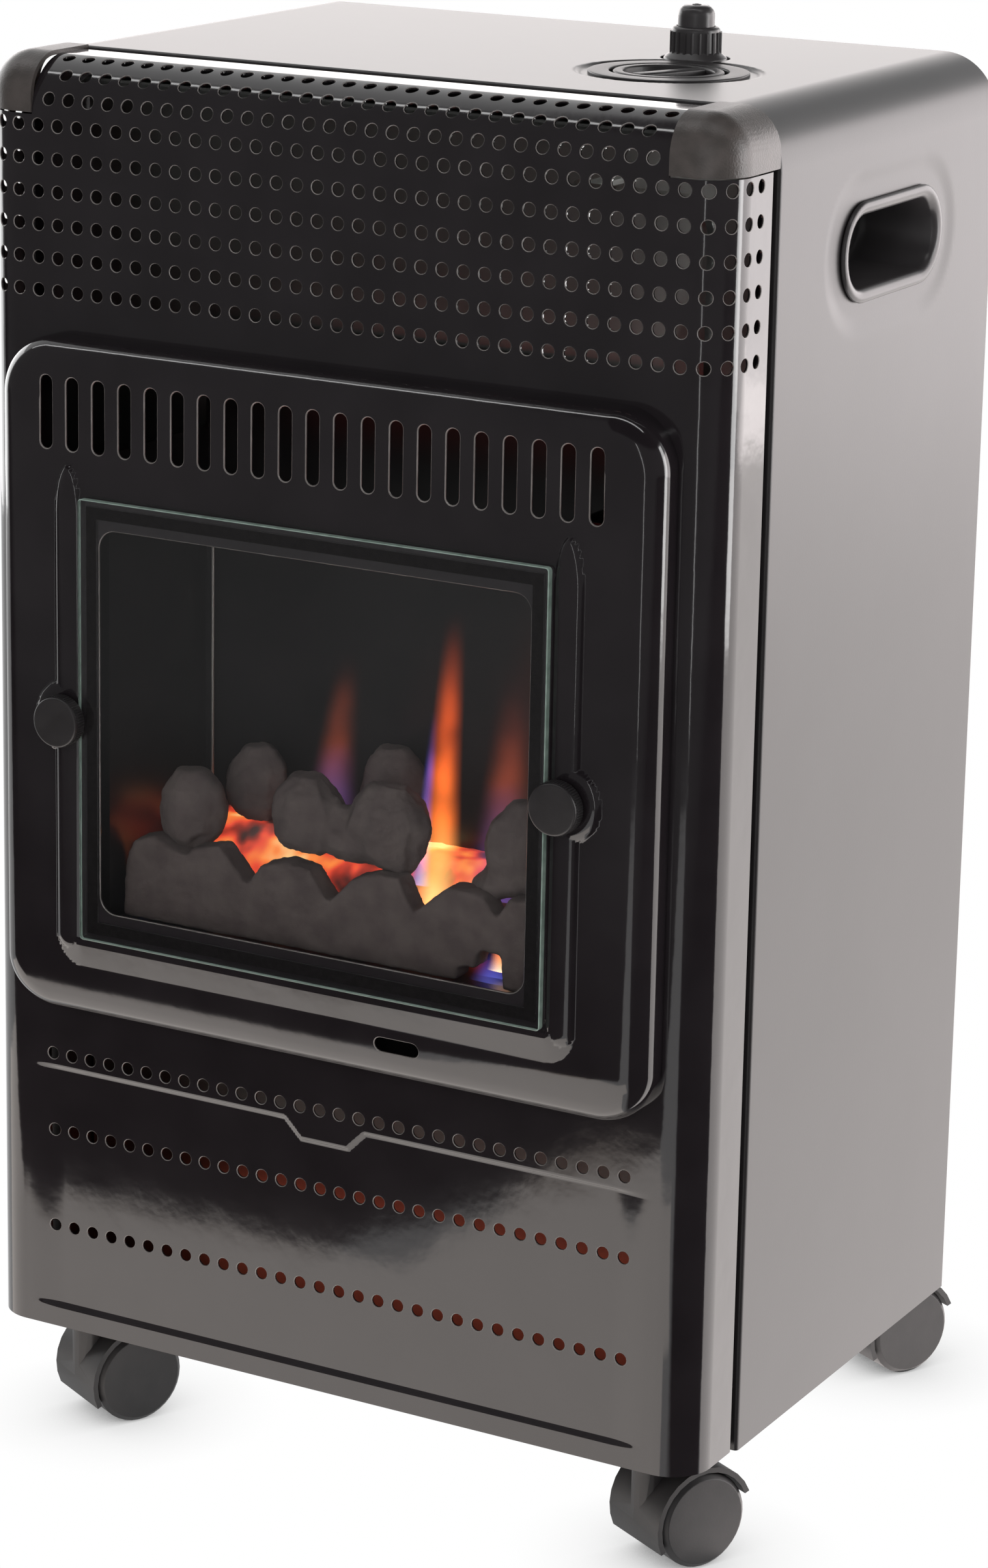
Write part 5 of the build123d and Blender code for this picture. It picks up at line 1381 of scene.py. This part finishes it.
flame("flame_left", -30, 47, 346, 448, 40, 12, faint_flame)
flame("flame_middle", 33, 47, 312, 476, 34, 10, yellow_flame)
flame("flame_middle_blue", 25, 46, 330, 424, 14, 8, blue_flame)
flame("flame_right", 70, 48, 330, 452, 46, 6, faint_flame)
flame("flame_blue_left", -132, 30, 294, 318, 12, -3, blue_flame)
flame("flame_notch", 84, 27, 300, 328, 18, 0, yellow_flame)
flame("flame_notch_blue", 82, 22, 288, 312, 40, 0, blue_flame)
print("flames done")

# %% [markdown]
# ## Studio
#
# A plain white studio. The camera sees pure white, and matt surfaces get an even light of half
# that. A mirror-like surface sees something else, because gloss black paint shows whatever stands
# in front of it: white behind the heater, a dark card on the side the picture is taken from, and a
# dark ceiling that ends on the left, where the white goes on upwards. So the world asks what kind
# of ray is looking at it.

# %% World
CARD_TURN = -0.268              # the dark card's edge is turned by 15 degrees
CARD_GREY, CEILING_GREY = 0.15, 0.03
CEILING_FROM, CEILING_FULL = 0.46, 0.56     # heights of a direction, as the sine of its slope
LEFT_FROM, LEFT_LIFT = -0.3, -2.2           # where the ceiling starts to rise, and how fast
world = bpy.data.worlds.new("studio")
bpy.context.scene.world = world
world.use_nodes = True
tree = world.node_tree
tree.nodes.clear()
path = add_node(tree, "ShaderNodeLightPath").outputs
shiny = add_node(tree, "ShaderNodeMath", (path["Is Glossy Ray"], path["Is Transmission Ray"]),
                 operation="MAXIMUM")
heading = add_node(tree, "ShaderNodeTexCoord").outputs["Generated"]
heading = add_node(tree, "ShaderNodeSeparateXYZ", {"Vector": heading}).outputs
to_right = add_node(tree, "ShaderNodeMath", (heading["X"], 0.0), operation="MAXIMUM")
limit = add_node(tree, "ShaderNodeMath", (to_right, CARD_TURN, heading["Y"]),
                 operation="MULTIPLY_ADD")
behind = add_node(tree, "ShaderNodeMapRange", {"Value": limit, "From Min": -0.06, "From Max": 0.03,
                                               "To Min": CARD_GREY, "To Max": 1.0})
to_left = add_node(tree, "ShaderNodeMath", (heading["X"], -1.0, LEFT_FROM),
                   operation="MULTIPLY_ADD")
to_left = add_node(tree, "ShaderNodeMath", (to_left, 0.0), operation="MAXIMUM")
height = add_node(tree, "ShaderNodeMath", (to_left, LEFT_LIFT, heading["Z"]),
                  operation="MULTIPLY_ADD")
low_down = add_node(tree, "ShaderNodeMapRange",
                    {"Value": height, "From Min": CEILING_FROM, "From Max": CEILING_FULL,
                     "To Min": 1.0, "To Max": CEILING_GREY})
white = add_node(tree, "ShaderNodeMath", (behind, low_down), operation="MULTIPLY")
ambient, mirrored, seen = (
    add_node(tree, "ShaderNodeBackground", {"Color": linear("#FFFFFF"), "Strength": strength})
    for strength in (0.5, white, 1.0))
first = add_node(tree, "ShaderNodeMixShader", (shiny, ambient, mirrored))
second = add_node(tree, "ShaderNodeMixShader", (path["Is Camera Ray"], first, seen))
add_node(tree, "ShaderNodeOutputWorld", {"Surface": second})
print("world", world.name)

# %% [markdown]
# The floor is white paper with a painted shadow: ambient occlusion darkens its white only in
# the last centimetres under the casters. In mirrors it is white from a line in front of the heater
# backwards, and from a line on its right leftwards; both lines have a kink. Nearer than that it is
# dark like the card, and it brightens a little far in front. Matt surfaces see an ordinary
# off-white floor.

# %% Floor
PAPER_GREY, PAPER_SOFT = 0.02, 0.02
material, tree, where = new_material("white_studio_floor")
path = add_node(tree, "ShaderNodeLightPath").outputs
direct = path["Is Camera Ray"]
for kind in ("Is Glossy Ray", "Is Transmission Ray"):
    direct = add_node(tree, "ShaderNodeMath", (direct, path[kind]), operation="MAXIMUM")
# A painted contact shadow: ambient occlusion darkens the white that the camera and mirrors see
painted_contact_shadow = add_node(tree, "ShaderNodeAmbientOcclusion", {"Distance": 0.06}, samples=8)
painted_shadow_softened = add_node(tree, "ShaderNodeMath", (painted_contact_shadow.outputs["AO"], 0.5), operation="POWER")


def inside_paper(value, other, start, soft, *kinks):
    """How far a spot is past an edge of straight runs; a kink is (where, way, slope)."""
    reach = start
    for at, way, slope in kinks:
        past = add_node(tree, "ShaderNodeMath", (other, way, -at * way), operation="MULTIPLY_ADD")
        past = add_node(tree, "ShaderNodeMath", (past, 0.0), operation="MAXIMUM")
        reach = add_node(tree, "ShaderNodeMath", (past, slope, reach), operation="MULTIPLY_ADD")
    gap = add_node(tree, "ShaderNodeMath", (value, reach), operation="SUBTRACT")
    return add_node(tree, "ShaderNodeMapRange", {"Value": gap, "From Min": -soft,
                                                 "From Max": soft, "To Min": PAPER_GREY})


spot = add_node(tree, "ShaderNodeSeparateXYZ", {"Vector": where}).outputs
paper = add_node(tree, "ShaderNodeMath", (
    inside_paper(spot["Y"], spot["X"], -0.46, PAPER_SOFT, (-0.19, 1, -2.4)),
    inside_paper(spot["X"], spot["Y"], 0.205, -PAPER_SOFT, (-0.15, -1, 0.287), (-0.15, 1, 3.73))),
    operation="MULTIPLY")
far_front = add_node(tree, "ShaderNodeMapRange", {"Value": spot["Y"], "From Min": -0.85,
                                                  "From Max": -1.5, "To Max": CARD_GREY})
for other in (path["Is Camera Ray"], far_front):
    paper = add_node(tree, "ShaderNodeMath", (paper, other), operation="MAXIMUM")
brightness = add_node(tree, "ShaderNodeMath", (painted_shadow_softened, paper), operation="MULTIPLY")
plain_white = add_node(tree, "ShaderNodeEmission",
                       {"Color": linear("#FFFFFF"), "Strength": brightness})
matt = add_node(tree, "ShaderNodeBsdfDiffuse", {"Color": linear("#E8E6E4")})
mix = add_node(tree, "ShaderNodeMixShader", (direct, matt, plain_white))
add_node(tree, "ShaderNodeOutputMaterial", {"Surface": mix})
floor_mesh = bpy.data.meshes.new("studio_floor")
floor_mesh.from_pydata([(-4, -1.5, 0), (4, -1.5, 0), (4, 5, 0), (-4, 5, 0)], [], [(0, 1, 2, 3)])
floor_mesh.materials.append(material)
floor = added("studio_floor", floor_mesh)
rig.stage(floor)
print("floor", floor.name)

# %% [markdown]
# Two large soft lamps behind and one on the left give the satin casing its grey sheen. Narrow
# ones on the right, in front and overhead draw thin lines along the rolled edges. Lamps lying on
# the floor are the bright paper that the lower roll mirrors. A broad fill from the front lights
# what isn't glossy. Two small red ones stand for the fire's glow behind the slots and low down
# behind the panel, and a small white one lights the inside behind the grille. Each is worked out
# from the light it gives per unit of surface, so that stays the same when a lamp is resized.

# %% Lamps
def soft_lamp(name, place, aim, width, height, brightness, colour="#FFFFFF"):
    """A rectangular lamp of a given brightness, unseen by the camera."""
    lamp = bpy.data.lights.new(name, "AREA")
    lamp.shape = "RECTANGLE"
    lamp.size, lamp.size_y = width, height
    lamp.energy = brightness * math.pi * width * height
    lamp.color = linear(colour)[:3]
    made = added(name, lamp)
    made.location = place
    made.rotation_euler = (Vector(aim) - Vector(place)).to_track_quat("-Z", "Y").to_euler()
    made.visible_camera = False
    return made


def paper_lamp(name, corner, along_degrees, length, depth, brightness, colour):
    """A lamp lying on the floor, facing up, from one corner along a bearing from +X."""
    bearing = math.radians(along_degrees)
    along = Vector((math.cos(bearing), math.sin(bearing)))
    across = Vector((-along.y, along.x))
    middle = Vector(corner) + along * length / 2 + across * depth / 2
    made = soft_lamp(name, (middle.x, middle.y, 0.002), (middle.x, middle.y, 1.0), length, depth,
                     brightness, colour)
    made.rotation_euler = (math.pi, 0.0, bearing)


def small_lamp(name, place_mm, aim_mm, width, height, brightness, colour="#FFFFFF"):
    """A lamp inside the heater, placed in drawing millimetres."""
    place, aim = placed((place_mm, aim_mm))
    soft_lamp(name, place, aim, width, height, brightness, colour)


soft_lamp("lamp_back_right", (1.81, 2.05, 0.72), (0.21, 0.0, 0.72), 3.6, 1.5, 3.4, "#FFF6F6")
soft_lamp("lamp_back_left", (-1.6, 2.3, 0.95), (0.0, 0.0, 0.95), 2.6, 1.3, 2.2, "#FFF6F4")
soft_lamp("lamp_left", (-2.2, 0.7, 0.7), (0.0, 0.0, 0.5), 1.6, 1.5, 2.6)
soft_lamp("lamp_right", (2.0, 0.55, 0.7), (0.2, -0.1, 0.7), 0.5, 2.0, 6.0)
soft_lamp("lamp_front_strip", (0.95, -2.45, 0.75), (0.0, -0.1, 0.45), 0.07, 2.0, 4.5)
soft_lamp("lamp_ceiling_strip", (-0.9, -0.35, 2.6), (-0.9, -0.1, 0.4), 4.4, 0.14, 6.0)
paper_lamp("lamp_paper_right", (0.215, -0.14), 15.0, 2.6, 2.4, 1.6, "#FFF4F0")
paper_lamp("lamp_paper_front", (-0.80, -0.46), 0.0, 0.99, 0.30, 1.2, "#FFF0E4")
paper_lamp("lamp_paper_front_right", (-0.13, -0.70), 0.0, 0.40, 0.24, 1.2, "#FFF0E4")
fill = soft_lamp("lamp_fill", (0.9, -2.6, 1.3), (0.0, 0.0, 0.35), 2.0, 2.0, 3.6)
fill.visible_glossy = False
small_lamp("lamp_embers_low", (0, 30, 78), (0, 96, 96), 0.36, 0.012, 1.8, "#FF7A60")
small_lamp("lamp_embers_high", (20, -9, 530), (20, -9, 600), 0.30, 0.012, 1.6, "#FF3A24")
small_lamp("lamp_grille", (150, 60, 640), (0, 40, 690), 0.02, 0.1, 8.0)
print("lamps", sum(thing.type == "LIGHT" for thing in bpy.context.scene.objects))

# %% [markdown]
# ## Finish
#
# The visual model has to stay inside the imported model's box, so both boxes are written out.

# %% Sizes and finish
json.dump({"cad": [list(map(float, c)) for c in cad_bounds],
           "visual": [list(map(float, c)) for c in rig.bounds()]}, open("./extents.json", "w"))
print("sizes", json.load(open("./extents.json")))
